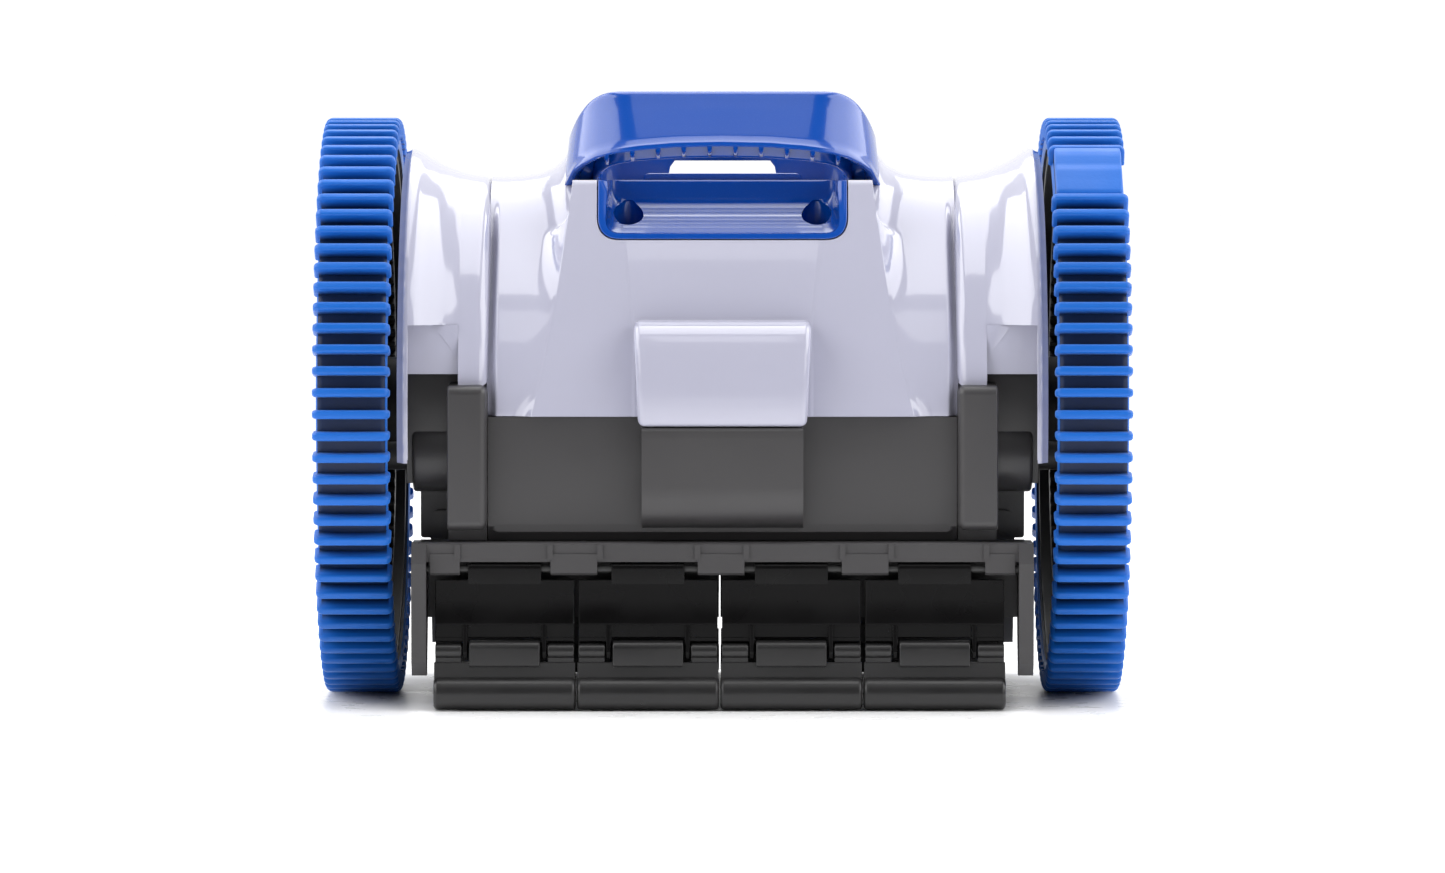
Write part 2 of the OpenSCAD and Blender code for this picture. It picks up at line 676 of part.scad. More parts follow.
top_cover();
carry_handle();
handle_basin();
hose_swivel();
swivel_retainer();
lower_body();
chamber_top();
throat_plate();
float_block();
rotor_hub();
rotor_shaft();
shaft_bearings();
rotor_vane(1);  // rotor_vane_1
rotor_vane(2);  // rotor_vane_2
rotor_vane(3);  // rotor_vane_3
rotor_vane(4);  // rotor_vane_4
rotor_vane(5);  // rotor_vane_5
rotor_vane(6);  // rotor_vane_6
mirror([1, 0, 0]) turbine_pinion();  // turbine_pinion_left
turbine_pinion();  // turbine_pinion_right
mirror([1, 0, 0]) reduction_gear();  // reduction_gear_left
reduction_gear();  // reduction_gear_right
mirror([1, 0, 0]) drive_gear();  // drive_gear_left
drive_gear();  // drive_gear_right
mirror([1, 0, 0]) gear_case();  // gear_case_left
gear_case();  // gear_case_right
mirror([1, 0, 0]) gear_case_cover();  // gear_case_cover_left
gear_case_cover();  // gear_case_cover_right
mirror([1, 0, 0]) stub_axle();  // stub_axle_left
stub_axle();  // stub_axle_right
mirror([1, 0, 0]) wheel_hub();  // wheel_hub_left
wheel_hub();  // wheel_hub_right
mirror([1, 0, 0]) tyre(hump_left);  // tyre_left
tyre(hump_right);  // tyre_right
mirror([1, 0, 0]) wheel_bushing();  // wheel_bushing_left
wheel_bushing();  // wheel_bushing_right
mirror([1, 0, 0]) hubcap();  // hubcap_left
hubcap();  // hubcap_right
flap_carrier();  // front_flap_carrier
mirror([0, 1, 0]) flap_carrier();  // rear_flap_carrier
upper_flap(segment_x(1));  // front_upper_flap_1
upper_flap(segment_x(2));  // front_upper_flap_2
upper_flap(segment_x(3));  // front_upper_flap_3
upper_flap(segment_x(4));  // front_upper_flap_4
lower_flap(segment_x(1));  // front_lower_flap_1
lower_flap(segment_x(2));  // front_lower_flap_2
lower_flap(segment_x(3));  // front_lower_flap_3
lower_flap(segment_x(4));  // front_lower_flap_4
mirror([0, 1, 0]) upper_flap(segment_x(1));  // rear_upper_flap_1
mirror([0, 1, 0]) upper_flap(segment_x(2));  // rear_upper_flap_2
mirror([0, 1, 0]) upper_flap(segment_x(3));  // rear_upper_flap_3
mirror([0, 1, 0]) upper_flap(segment_x(4));  // rear_upper_flap_4
mirror([0, 1, 0]) lower_flap(segment_x(1));  // rear_lower_flap_1
mirror([0, 1, 0]) lower_flap(segment_x(2));  // rear_lower_flap_2
mirror([0, 1, 0]) lower_flap(segment_x(3));  // rear_lower_flap_3
mirror([0, 1, 0]) lower_flap(segment_x(4));  // rear_lower_flap_4
hinge_rods();
body_screws();
axle_screws();
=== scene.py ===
"""Two-wheel suction pool cleaner: the looks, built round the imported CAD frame.

Shapes are worked out in millimetres and turned into metres as each mesh is made.
"""

import json
from math import acos, asin, atan2, cos, degrees, pi, radians, sin, sqrt, tan

import bmesh
import bpy
import numpy as np
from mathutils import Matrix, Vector


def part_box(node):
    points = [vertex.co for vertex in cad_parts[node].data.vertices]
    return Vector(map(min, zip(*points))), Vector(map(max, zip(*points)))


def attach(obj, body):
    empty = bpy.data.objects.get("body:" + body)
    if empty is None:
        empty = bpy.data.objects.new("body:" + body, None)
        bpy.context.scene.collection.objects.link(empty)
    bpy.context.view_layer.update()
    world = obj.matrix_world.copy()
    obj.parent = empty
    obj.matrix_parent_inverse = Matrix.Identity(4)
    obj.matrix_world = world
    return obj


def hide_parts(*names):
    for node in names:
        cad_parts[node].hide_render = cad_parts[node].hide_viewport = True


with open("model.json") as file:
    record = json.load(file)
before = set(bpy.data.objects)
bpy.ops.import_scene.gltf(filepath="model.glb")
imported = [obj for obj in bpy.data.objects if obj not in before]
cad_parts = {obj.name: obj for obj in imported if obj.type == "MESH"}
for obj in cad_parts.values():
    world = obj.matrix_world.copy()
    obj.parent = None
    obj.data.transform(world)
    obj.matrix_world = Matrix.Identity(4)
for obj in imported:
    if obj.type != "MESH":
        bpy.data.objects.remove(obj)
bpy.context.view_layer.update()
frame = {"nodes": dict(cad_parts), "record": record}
NODES = frame["nodes"]
scene = bpy.context.scene
scene.view_settings.view_transform = "Standard"


def box_mm(node):
    """A CAD node's lowest and highest corner, in millimetres."""
    lo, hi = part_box(node)
    return np.array(lo) * 1000, np.array(hi) * 1000


# ---- mesh tools


class Shape:
    """Vertices in millimetres and faces, gathered from several surfaces."""

    def __init__(self):
        self.verts, self.faces, self.count = [], [], 0

    def add(self, verts, faces):
        verts = np.asarray(verts, float).reshape(-1, 3)
        self.verts.append(verts)
        self.faces += [tuple(i + self.count for i in f) for f in faces]
        self.count += len(verts)

    def grid(self, points, loop_u=False, loop_v=False, flip=False):
        """A sheet through points[u][v]."""
        p = np.asarray(points, float)
        nu, nv = p.shape[:2]
        faces = []
        for i in range(nu if loop_u else nu - 1):
            for j in range(nv if loop_v else nv - 1):
                a, b = i * nv + j, i * nv + (j + 1) % nv
                c, d = ((i + 1) % nu) * nv + (j + 1) % nv, ((i + 1) % nu) * nv + j
                faces.append((a, b, c, d) if flip else (a, d, c, b))
        self.add(p, faces)

    def rings(self, rings):
        """A closed body through rings of equal point count, capped at both ends."""
        p = np.asarray(rings, float)
        n, m = p.shape[:2]
        faces = []
        for i in range(n - 1):
            for j in range(m):
                k = (j + 1) % m
                faces.append((i * m + j, (i + 1) * m + j, (i + 1) * m + k, i * m + k))
        faces.append(tuple(range(m)))
        faces.append(tuple((n - 1) * m + j for j in reversed(range(m))))
        self.add(p, faces)

    def mirror_x(self):
        """Adds the mirror image of everything so far."""
        verts = np.concatenate(self.verts) * (-1, 1, 1)
        self.add(verts, [tuple(reversed(f)) for f in list(self.faces)])

    def object(self, name, material, sharp=35.0):
        mesh = bpy.data.meshes.new(name)
        mesh.from_pydata((np.concatenate(self.verts) * 0.001).tolist(), [], self.faces)
        bm = bmesh.new()
        bm.from_mesh(mesh)
        bmesh.ops.recalc_face_normals(bm, faces=bm.faces)
        bm.to_mesh(mesh)
        bm.free()
        for polygon in mesh.polygons:
            polygon.use_smooth = True
        mesh.set_sharp_from_angle(angle=radians(sharp))
        mesh.materials.append(material)
        obj = bpy.data.objects.new(name, mesh)
        scene.collection.objects.link(obj)
        return obj


def apply_modifiers(obj):
    """Bakes an object's modifiers into its mesh."""
    bpy.context.view_layer.update()
    graph = bpy.context.evaluated_depsgraph_get()
    mesh = bpy.data.meshes.new_from_object(obj.evaluated_get(graph))
    obj.modifiers.clear()
    obj.data = mesh


def cut(obj, *cutters):
    """Takes the cutters' solids away from obj."""
    for cutter in cutters:
        m = obj.modifiers.new("cut", "BOOLEAN")
        m.operation, m.solver, m.object = "DIFFERENCE", "EXACT", cutter
    apply_modifiers(obj)
    for cutter in cutters:
        bpy.data.objects.remove(cutter)


def smooth_group():
    """A node group that shades faces smoothly and keeps edges over 30 degrees sharp."""
    group = bpy.data.node_groups.new("shade_by_angle", "GeometryNodeTree")
    for way in ("INPUT", "OUTPUT"):
        group.interface.new_socket("Geometry", in_out=way, socket_type="NodeSocketGeometry")
    start, end = group.nodes.new("NodeGroupInput"), group.nodes.new("NodeGroupOutput")
    faces, edges = (group.nodes.new("GeometryNodeSetShadeSmooth") for _ in range(2))
    edges.domain = "EDGE"
    edges.inputs["Shade Smooth"].default_value = False
    angle = group.nodes.new("GeometryNodeInputMeshEdgeAngle")
    wide = group.nodes.new("FunctionNodeCompare")
    wide.operation = "GREATER_THAN"
    wide.inputs["B"].default_value = radians(30)
    link = group.links.new
    link(start.outputs[0], faces.inputs["Geometry"])
    link(faces.outputs["Geometry"], edges.inputs["Geometry"])
    link(angle.outputs["Unsigned Angle"], wide.inputs["A"])
    link(wide.outputs["Result"], edges.inputs["Selection"])
    link(edges.outputs["Geometry"], end.inputs[0])
    return group


SMOOTH = smooth_group()


def soften(obj, width, segments=2, angle=30.0):
    """Rounds the hard edges of a mesh by width millimetres."""
    obj.modifiers.new("weld", "WELD").merge_threshold = 0.00001
    b = obj.modifiers.new("bevel", "BEVEL")
    b.width = width * 0.001
    b.segments = segments
    b.limit_method = "ANGLE"
    b.angle_limit = radians(angle)
    b.use_clamp_overlap = True
    obj.modifiers.new("shade", "NODES").node_group = SMOOTH
    obj.modifiers.new("normals", "WEIGHTED_NORMAL").keep_sharp = True


def smooth(a, b, x):
    """Smooth step from 0 at a to 1 at b."""
    t = np.clip((x - a) / (b - a), 0, 1)
    return t * t * (3 - 2 * t)


def quarter(n):
    """n angles from 0 to a right angle, in radians."""
    return np.linspace(0, pi / 2, n)


def circle(n):
    """n angles round a full circle, in radians."""
    return np.linspace(0, 2 * pi, n, endpoint=False)


def rounded(points, radii, n):
    """A closed outline with its corners rounded, each by its own radius."""
    out = []
    m = len(points)
    for i in range(m):
        p, a, b = (np.array(points[k % m], float) for k in (i, i - 1, i + 1))
        r = radii[i]
        u, v = (a - p) / np.linalg.norm(a - p), (b - p) / np.linalg.norm(b - p)
        half = acos(max(-1.0, min(1.0, float(u @ v)))) / 2
        if r <= 0 or abs(half - pi / 2) < 1e-3:
            out.append(tuple(p))
            continue
        d = r / tan(half)
        s, e = p + u * d, p + v * d
        for k in range(n + 1):
            t = k / n
            out.append(tuple((1 - t) ** 2 * s + 2 * t * (1 - t) * p + t * t * e))
    return out


# ---- materials


# Places of the colour sockets on a Mix node that works on colours.
MIX_A, MIX_B, MIX_OUT = 6, 7, 2
# Painted shade: brightness of the colour at the bottom of the tyre's grooves.
GROOVE_FLOOR_PAINTED_SHADE = 0.12


class Nodes:
    """Short names for building a material's node tree."""

    def __init__(self, name):
        self.material = bpy.data.materials.new(name)
        self.material.use_nodes = True
        self.tree = self.material.node_tree
        self.shader = self.tree.nodes["Principled BSDF"]

    def node(self, kind, **values):
        n = self.tree.nodes.new(kind)
        for key, value in values.items():
            if hasattr(n, key):
                setattr(n, key, value)
            else:
                n.inputs[key.replace("_", " ")].default_value = value
        return n

    def link(self, a, b):
        self.tree.links.new(a, b)

    def on_object(self, kind, **values):
        """A node whose vector is the place on the object."""
        n = self.node(kind, **values)
        self.link(self.node("ShaderNodeTexCoord").outputs["Object"], n.inputs["Vector"])
        return n

    def noise(self, scale, detail=3.0, rough=0.5):
        n = self.on_object("ShaderNodeTexNoise", Scale=scale, Detail=detail, Roughness=rough)
        return n.outputs["Fac"]

    def ramp(self, source, stops):
        r = self.node("ShaderNodeValToRGB")
        elements = r.color_ramp.elements
        while len(elements) < len(stops):
            elements.new(0.5)
        for element, (position, colour) in zip(elements, stops):
            element.position = position
            element.color = (*colour, 1.0)
        self.link(source, r.inputs["Fac"])
        return r.outputs["Color"]

    def spread(self, source, low, high, start=0.3, end=0.7):
        m = self.node("ShaderNodeMapRange", From_Min=start, From_Max=end,
                      To_Min=low, To_Max=high)
        self.link(source, m.inputs["Value"])
        return m.outputs["Result"]

    def bump(self, source, strength, distance):
        b = self.node("ShaderNodeBump", Strength=strength, Distance=distance)
        self.link(source, b.inputs["Height"])
        return b.outputs["Normal"]

    def math(self, operation, *values):
        n = self.node("ShaderNodeMath", operation=operation)
        for socket, value in zip(n.inputs, values):
            if isinstance(value, float):
                socket.default_value = value
            else:
                self.link(value, socket)
        return n.outputs["Value"]

    def groove_shade(self, floor_r, top_r, axle_z, middle_x, half_x):
        """Painted shade for the tread's grooves: dark at radius floor_r, 1 at top_r and on the side walls.
        """
        parts = self.on_object("ShaderNodeSeparateXYZ")
        up = self.math("SUBTRACT", parts.outputs["Z"], axle_z)
        square = self.math("ADD", self.math("MULTIPLY", up, up),
                           self.math("MULTIPLY", parts.outputs["Y"], parts.outputs["Y"]))
        depth = self.spread(self.math("SQRT", square), GROOVE_FLOOR_PAINTED_SHADE, 1.0, floor_r, top_r)
        out = self.math("ABSOLUTE", parts.outputs["X"])
        tread = self.math("COMPARE", out, middle_x, half_x)
        return self.math("MAXIMUM", depth, self.math("SUBTRACT", 1.0, tread))


def tint(colour, k):
    """A colour made lighter or darker by the factor k."""
    return tuple(min(1.0, c * k) for c in colour)


def moulded(name, colour, rough, grain=1400.0, bump=0.05, depth=0.00004, vary=0.06,
            rough_vary=0.05, coat=0.0, speckle=None, sheen=0.0, specular=0.5, grooves=None):
    """Moulded plastic or rubber: soft colour drift, a fine skin and an uneven gloss.

    speckle is (scale, size, strength, colour) of light flakes; grooves is what the groove mask method
    takes, the places of the painted shade that darkens the colour and the sheen at the bottom of the
    tread's grooves.
    """
    m = Nodes(name)
    drift = m.noise(9.0, 4.0)
    colour_out = m.ramp(drift, [(0.3, tint(colour, 1 - vary)), (0.7, tint(colour, 1 + vary))])
    fine = m.noise(grain, 2.0, 0.6)
    if speckle:
        scale, size, strength, flake_colour = speckle
        flakes = m.on_object("ShaderNodeTexVoronoi", Scale=scale)
        mask = m.ramp(flakes.outputs["Distance"], [(0.0, (strength,) * 3), (size, (0, 0, 0))])
        mix = m.node("ShaderNodeMix", data_type="RGBA", blend_type="ADD")
        m.link(mask, mix.inputs["Factor"])
        m.link(colour_out, mix.inputs[MIX_A])
        mix.inputs[MIX_B].default_value = (*flake_colour, 1.0)
        colour_out = mix.outputs[MIX_OUT]
    # Painted shade: the colour, and the sheen with it, are darkened towards the bottom of the tread's
    # grooves.
    if grooves:
        shade = m.groove_shade(*grooves)
        mix = m.node("ShaderNodeMix", data_type="RGBA", blend_type="MULTIPLY")
        mix.inputs["Factor"].default_value = 1.0
        m.link(colour_out, mix.inputs[MIX_A])
        m.link(shade, mix.inputs[MIX_B])
        colour_out = mix.outputs[MIX_OUT]
        m.link(m.math("MULTIPLY", shade, sheen), m.shader.inputs["Sheen Weight"])
    m.link(colour_out, m.shader.inputs["Base Color"])
    gloss = m.spread(m.noise(35.0, 3.0), rough - rough_vary, rough + rough_vary)
    m.link(gloss, m.shader.inputs["Roughness"])
    m.link(m.bump(fine, bump, depth), m.shader.inputs["Normal"])
    m.shader.inputs["Specular IOR Level"].default_value = specular
    if coat:
        m.shader.inputs["Coat Weight"].default_value = coat
        m.shader.inputs["Coat Roughness"].default_value = 0.05
    if sheen:
        m.shader.inputs["Sheen Weight"].default_value = sheen
        m.shader.inputs["Sheen Roughness"].default_value = 0.45
        m.shader.inputs["Sheen Tint"].default_value = (0.45, 0.62, 1.0, 1.0)
    return m.material


def metal(name, colour, rough):
    """Turned steel with fine lines."""
    m = Nodes(name)
    lines = m.noise(900.0, 2.0)
    colour_out = m.ramp(m.noise(30.0), [(0.3, tint(colour, 0.9)), (0.7, colour)])
    m.link(colour_out, m.shader.inputs["Base Color"])
    m.link(m.spread(lines, rough - 0.08, rough + 0.08), m.shader.inputs["Roughness"])
    m.link(m.bump(lines, 0.15, 0.00003), m.shader.inputs["Normal"])
    m.shader.inputs["Metallic"].default_value = 1.0
    return m.material


WHITE = moulded("white_shell", (0.44, 0.44, 0.545), 0.13, 900.0, 0.02, 0.00002, 0.012, 0.03,
                coat=1.0)
BLUE = moulded("blue_handle", (0.0005, 0.060, 0.36), 0.20, 1500.0, 0.05, 0.00003, 0.05, 0.03,
               coat=0.6, speckle=(1100.0, 0.30, 0.08, (0.10, 0.20, 0.34)))
# Painted shade in the tread's grooves, in metres: where it is darkest and where it ends, the axle's height,
# and the middle and half width of the tread.
TYRE_LOW, TYRE_HIGH = (np.array(v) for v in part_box("tyre_right"))
TREAD_TOP = float(TYRE_HIGH[1] - TYRE_LOW[1]) / 2
PAINTED_SHADE_GROOVES = (TREAD_TOP - 0.0056, TREAD_TOP - 0.0022, float(TYRE_HIGH[2] + TYRE_LOW[2]) / 2,
           float(TYRE_HIGH[0] + TYRE_LOW[0]) / 2, float(TYRE_HIGH[0] - TYRE_LOW[0]) / 2 - 0.002)
# The rubber's colour and sheen carry painted shade in the tread's grooves.
RUBBER = moulded("blue_rubber", (0.002, 0.115, 0.50), 0.46, 650.0, 0.4, 0.00012, 0.10, 0.08,
                 sheen=0.25, specular=0.36, grooves=PAINTED_SHADE_GROOVES)
BLACK = moulded("black_body", (0.046, 0.044, 0.046), 0.40, 1100.0, 0.35, 0.00008, 0.08, 0.06)
SATIN = moulded("black_flap", (0.0030, 0.0028, 0.0030), 0.30, 500.0, 0.06, 0.00005, 0.18, 0.09,
                specular=0.17)
# The lower flaps' black is lighter than the upper flaps': painted light, standing in for the floor's
# reflection and the highlight on the rolled lip.
LIP = moulded("black_lip", (0.017, 0.0165, 0.017), 0.33, 700.0, 0.08, 0.00005, 0.12, 0.07)
PIN = moulded("black_pin", (0.02, 0.02, 0.02), 0.5, 700.0, 0.08, 0.00005, 0.12, 0.07)
DARK = moulded("black_hub", (0.006, 0.006, 0.007), 0.45, 700.0, 0.15, 0.00006, 0.12, 0.08)
GREY = moulded("grey_swivel", (0.19, 0.19, 0.21), 0.40, 900.0, 0.2, 0.00006, 0.06, 0.05)
GEAR = moulded("gear_plastic", (0.68, 0.66, 0.60), 0.40, 800.0, 0.1, 0.00005, 0.05, 0.06)
VANE = moulded("blue_vane", (0.008, 0.09, 0.30), 0.42, 900.0, 0.2, 0.00006, 0.08, 0.06)
STEEL = metal("steel", (0.58, 0.58, 0.60), 0.28)
FOAM = moulded("float_foam", (0.80, 0.77, 0.64), 0.85, 420.0, 0.8, 0.0003, 0.08, 0.05)

SLOT_LOOK = {
    "white_shell": WHITE, "blue_handle": BLUE, "blue_rubber": RUBBER, "black_body": BLACK,
    "grey_swivel": GREY, "gear_plastic": GEAR, "blue_vane": VANE, "steel": STEEL,
    "float_foam": FOAM,
}
NODE_SLOT = {s["node"]: s["material_slot"] for s in frame["record"]["subparts"]}
BODY_OF = {node: body for body, nodes in frame["record"]["behaviour"]["bodies"].items()
           for node in nodes}


def look_of(node):
    """The material of a CAD node: its slot's, unless the piece has a finish of its own."""
    if "flap" in node and "carrier" not in node:
        return SATIN
    if node.startswith(("wheel_hub", "hubcap")):
        return DARK
    if node == "hinge_rods" or node.startswith("drive_gear"):
        return PIN
    return SLOT_LOOK[NODE_SLOT[node]]


for name, node in NODES.items():
    node.data.materials.clear()
    node.data.materials.append(look_of(name))

# Edges of the carried-over CAD pieces are eased, in millimetres, as moulded and turned parts are.
# Gears keep their teeth as they are, and the pieces that get a finer shape below are left alone.
EASE = {"wheel_hub": 0.5, "hubcap": 0.8, "hose_swivel": 0.8, "throat_plate": 0.6, "float_block": 2.0}
OTHER_EASE, WIDE_EASE = 0.25, 0.6
RESHAPED = ("top_cover", "carry_handle", "handle_basin", "lower_body", "tyre", "front", "rear")
for name, node in NODES.items():
    if "gear" in name or name.startswith(RESHAPED):
        continue
    width = EASE.get(name.replace("_left", "").replace("_right", ""), OTHER_EASE)
    soften(node, width, 3 if width > WIDE_EASE else 2)


def finish_piece(obj, body, slot, *nodes):
    """Puts a piece on its body, in the place of those CAD nodes."""
    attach(obj, body)
    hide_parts(*nodes)


# ---- flap skirts


def prism(s, xa, xb, profile, sign):
    """A (y, z) outline swept from xa to xb; sign is 1 at the front and -1 at the back."""
    s.rings([[(x, y * sign, z) for y, z in profile[::sign]] for x in (xa, xb)])


def barrel(s, xa, xb, y, z, r, end, sign, n=40):
    """A round bar along x whose ends are rounded over."""
    bend = quarter(6)
    sections = [(xa + end * (1 - cos(t)), r - end * (1 - sin(t))) for t in bend]
    sections += [(xb - end * (1 - cos(t)), r - end * (1 - sin(t))) for t in bend[::-1]]
    s.rings([[(x, sign * (y + q * cos(t * sign)), z + q * sin(t * sign))
              for t in circle(n)] for x, q in sections])


# Side views of the flaps' parts at the front, as (y, z).
UPPER_KNUCKLE = [(-112.0, 53), (-112.6, 59.6), (-112.0, 61.3), (-110.6, 62.2), (-109.4, 62.2),
                 (-108.0, 61.3), (-107.4, 59.6), (-108.2, 53)]
UPPER_PLATE = [(-112.0, 55.1), (-112.0, 47), (-112.1, 43.5), (-112.3, 41), (-112.55, 38.9),
               (-112.85, 37.3), (-112.9, 36.2), (-108.8, 36.2), (-108.7, 55.1)]
UPPER_SKIRT = [(-110.4, 30.6), (-110.4, 37), (-108.4, 37), (-108.4, 30.6)]
ROD_SHIELD = [(-110.2, 28.9), (-109.3, 28.75), (-108.2, 28.0), (-107.5, 26.8), (-106.7, 27.0),
              (-107.3, 28.9), (-108.4, 31.2), (-110.2, 31.2)]
UPPER_EAR = [(-112.5, 37), (-108.5, 37), (-108.0, 25), (-109.6, 21.8), (-112.2, 21.8),
             (-113.6, 24.4)]
LOWER_KNUCKLE = [(-115.4, 19.2), (-115.5, 26.0), (-114.9, 27.8), (-113.6, 29.0), (-111.8, 29.5),
                 (-110.0, 29.4), (-108.4, 28.6), (-107.3, 27.0), (-106.6, 25.0), (-107.6, 18.6),
                 (-114.8, 18.4)]
LOWER_PLATE = [(-113.9, 9), (-113.4, 20.4), (-109.2, 20.4), (-109.0, 9)]
ROD_ARM = [(-112.6, 18), (-112.6, 25), (-109.4, 25), (-109.4, 18)]
UPPER_HALF, LOWER_HALF, LIP_HALF = 29.2, 29.7, 29.85


def build_upper_flap(x, sign, name):
    """Knuckle, plate and two ears that carry the lower flap, with shields behind its rod."""
    s = Shape()
    prism(s, x - 15.4, x + 15.4, UPPER_KNUCKLE, sign)
    prism(s, x - UPPER_HALF, x + UPPER_HALF, UPPER_PLATE, sign)
    prism(s, x - UPPER_HALF, x + UPPER_HALF, UPPER_SKIRT, sign)
    for k in (-1, 1):
        prism(s, *sorted((x + k * 15.3, x + k * UPPER_HALF)), ROD_SHIELD, sign)
        prism(s, x + k * 16.6 - 1.0, x + k * 16.6 + 1.0, UPPER_EAR, sign)
    obj = s.object(name, SATIN, 30)
    soften(obj, 0.4, 3, 28)
    return obj


def build_lower_flap(x, sign, name):
    """Knuckle, plate, a rod on two arms and the rolled lip at the bottom."""
    s = Shape()
    prism(s, x - 14.8, x + 14.8, LOWER_KNUCKLE, sign)
    prism(s, x - LOWER_HALF, x + LOWER_HALF, LOWER_PLATE, sign)
    for k in (-1, 1):
        xa, xb = sorted((x + k * 18.1, x + k * UPPER_HALF))
        barrel(s, xa, xb, -111, 25, 3.2, 0.5, sign)
        prism(s, xa, xb, ROD_ARM, sign)
    barrel(s, x - LIP_HALF, x + LIP_HALF, -112, 7.3, 7.0, 1.7, sign, 64)
    obj = s.object(name, LIP, 30)
    soften(obj, 0.4, 3, 40)
    return obj


for row, sign in (("front", 1), ("rear", -1)):
    for i in (1, 2, 3, 4):
        for kind, build in (("upper", build_upper_flap), ("lower", build_lower_flap)):
            node = f"{row}_{kind}_flap_{i}"
            low, high = box_mm(node)
            flap = build(float(low[0] + high[0]) / 2, sign, f"{node}_shape")
            finish_piece(flap, BODY_OF[node], NODE_SLOT[node], node)

# ---- tyres

AXLE_Z = float((box_mm("tyre_right")[0][2] + box_mm("tyre_right")[1][2]) / 2)
WHEEL_R = float((box_mm("tyre_right")[1][2] - box_mm("tyre_right")[0][2]) / 2)
# Ribs: height, thickness, rounding of the long edges and of the ends, how many round the tyre,
# and how far they stand out sideways past the carcass.
RIB_H, RIB_T, RIB_EDGE, RIB_END, RIBS, PROUD = 6.0, 3.8, 1.25, 2.6, 84, 1.3
CARCASS_R, CARCASS_EDGE, CARCASS_STEPS = WHEEL_R - RIB_H, 3, 336
# The tyre's inner edge is level with the top of the white cover's fender beside it.
BEAD_R = float(box_mm("top_cover")[1][2] - AXLE_Z)
# Hump: half its length and half the gap left in the ribs, in degrees, and its crest's height
# over the ribs along it.
HUMP_HALF, HUMP_GAP = 8, 6.5
HUMP_CREST = ([-8, -7, -4, -1.5, 0.5, 3, 4.5, 6.5, 8],
              [-1.6, -0.6, 0.1, 0.9, 0.6, 1.7, 1.75, 0.9, -0.9])
# Points of the CAD tyre more than this far outside its ribs belong to its hump.
HUMP_RISE = 0.6


def polar(x, r, a):
    """x along the axle, r from it, a in radians up from the front."""
    return x, -r * cos(a), AXLE_Z + r * sin(a)


def wheel_point(x, r, a):
    """The same with a in degrees."""
    return polar(x, r, radians(a))


def crown(x0, x1, top, r, n):
    """(x, radius) points up one side, with corners of radius r, and down to the other."""
    up = [(x0 + r * (1 - cos(t)), top - r * (1 - sin(t))) for t in quarter(n)]
    down = [(x1 - r * (1 - sin(t)), top - r * (1 - cos(t))) for t in quarter(n)]
    return up, down


def tyre(side, hump_at):
    """A carcass with cross ribs and one climbing hump."""
    x0, x1 = sorted(abs(corner[0]) for corner in box_mm(f"tyre_{side}"))
    s = Shape()
    a, b, q = x0 + PROUD, x1 - PROUD, CARCASS_EDGE
    bend = np.linspace(0.2, pi / 2, 5)
    profile = [(a + 0.6, BEAD_R - 0.2), (a, BEAD_R + 0.6), (a, CARCASS_R - q)]
    profile += [(a + q - q * cos(t), CARCASS_R - q + q * sin(t)) for t in bend]
    profile += [(b - q + q * cos(t), CARCASS_R - q + q * sin(t)) for t in bend[::-1]]
    profile += [(b, CARCASS_R - q), (b, BEAD_R + 0.6), (b - 0.6, BEAD_R - 0.2)]
    s.grid([[wheel_point(x, r, 360 / CARCASS_STEPS * k) for x, r in profile]
            for k in range(CARCASS_STEPS)], loop_u=True, loop_v=True)
    # Each rib is a rounded bar laid across the carcass.
    levels = [(-RIB_T / 2 + RIB_EDGE * (1 - cos(t)), RIB_EDGE * (1 - sin(t)))
              for t in quarter(5)]
    levels += [(-off, inset) for off, inset in reversed(levels)]
    outlines = []
    for off, inset in levels:
        up, down = crown(x0 + inset, x1 - inset, WHEEL_R - inset, RIB_END, 6)
        foot = CARCASS_R - 2.5
        outlines.append((off, [(x0 + inset, foot)] + up + down + [(x1 - inset, foot)]))
    for k in range(RIBS):
        centre = k * 360 / RIBS
        if abs((centre - hump_at + 180) % 360 - 180) < HUMP_GAP:
            continue
        s.rings([[wheel_point(x, r, centre + degrees(off / WHEEL_R)) for x, r in outline]
                 for off, outline in outlines])
    # The climbing hump: a broad block with a crest near its upper edge.
    block = []
    for step in np.linspace(-HUMP_HALF, HUMP_HALF, 33):
        inset = 2.1 + 1.2 * (abs(step) / HUMP_HALF) ** 14
        top = WHEEL_R + float(np.interp(step, *HUMP_CREST))
        up, down = crown(x0 + inset, x1 - inset, top, 1.0, 4)
        across = [(x0 + (x1 - x0) * f, top) for f in (0.25, 0.4, 0.5, 0.6, 0.75)]
        foot = CARCASS_R - 2
        ring = [(x0 + inset, foot)] + up + across + down + [(x1 - inset, foot)]
        block.append([wheel_point(x, r, hump_at + step) for x, r in ring])
    s.rings(block)
    if side == "left":
        s.verts = [np.concatenate(s.verts) * (-1, 1, 1)]
    return s.object(f"tyre_{side}_ribbed", RUBBER, 40)


def hump_angle(side):
    """Where the CAD tyre reaches furthest from the axle, degrees up from the front."""
    co = np.array([v.co for v in NODES[f"tyre_{side}"].data.vertices]) * 1000
    y, z = co[:, 1], co[:, 2] - AXLE_Z
    far = np.hypot(y, z) > WHEEL_R + HUMP_RISE
    return degrees(atan2(z[far].mean(), -y[far].mean()))


for side in ("left", "right"):
    finish_piece(tyre(side, hump_angle(side)), f"wheel_{side}", "blue_rubber", f"tyre_{side}")

# ---- white cover

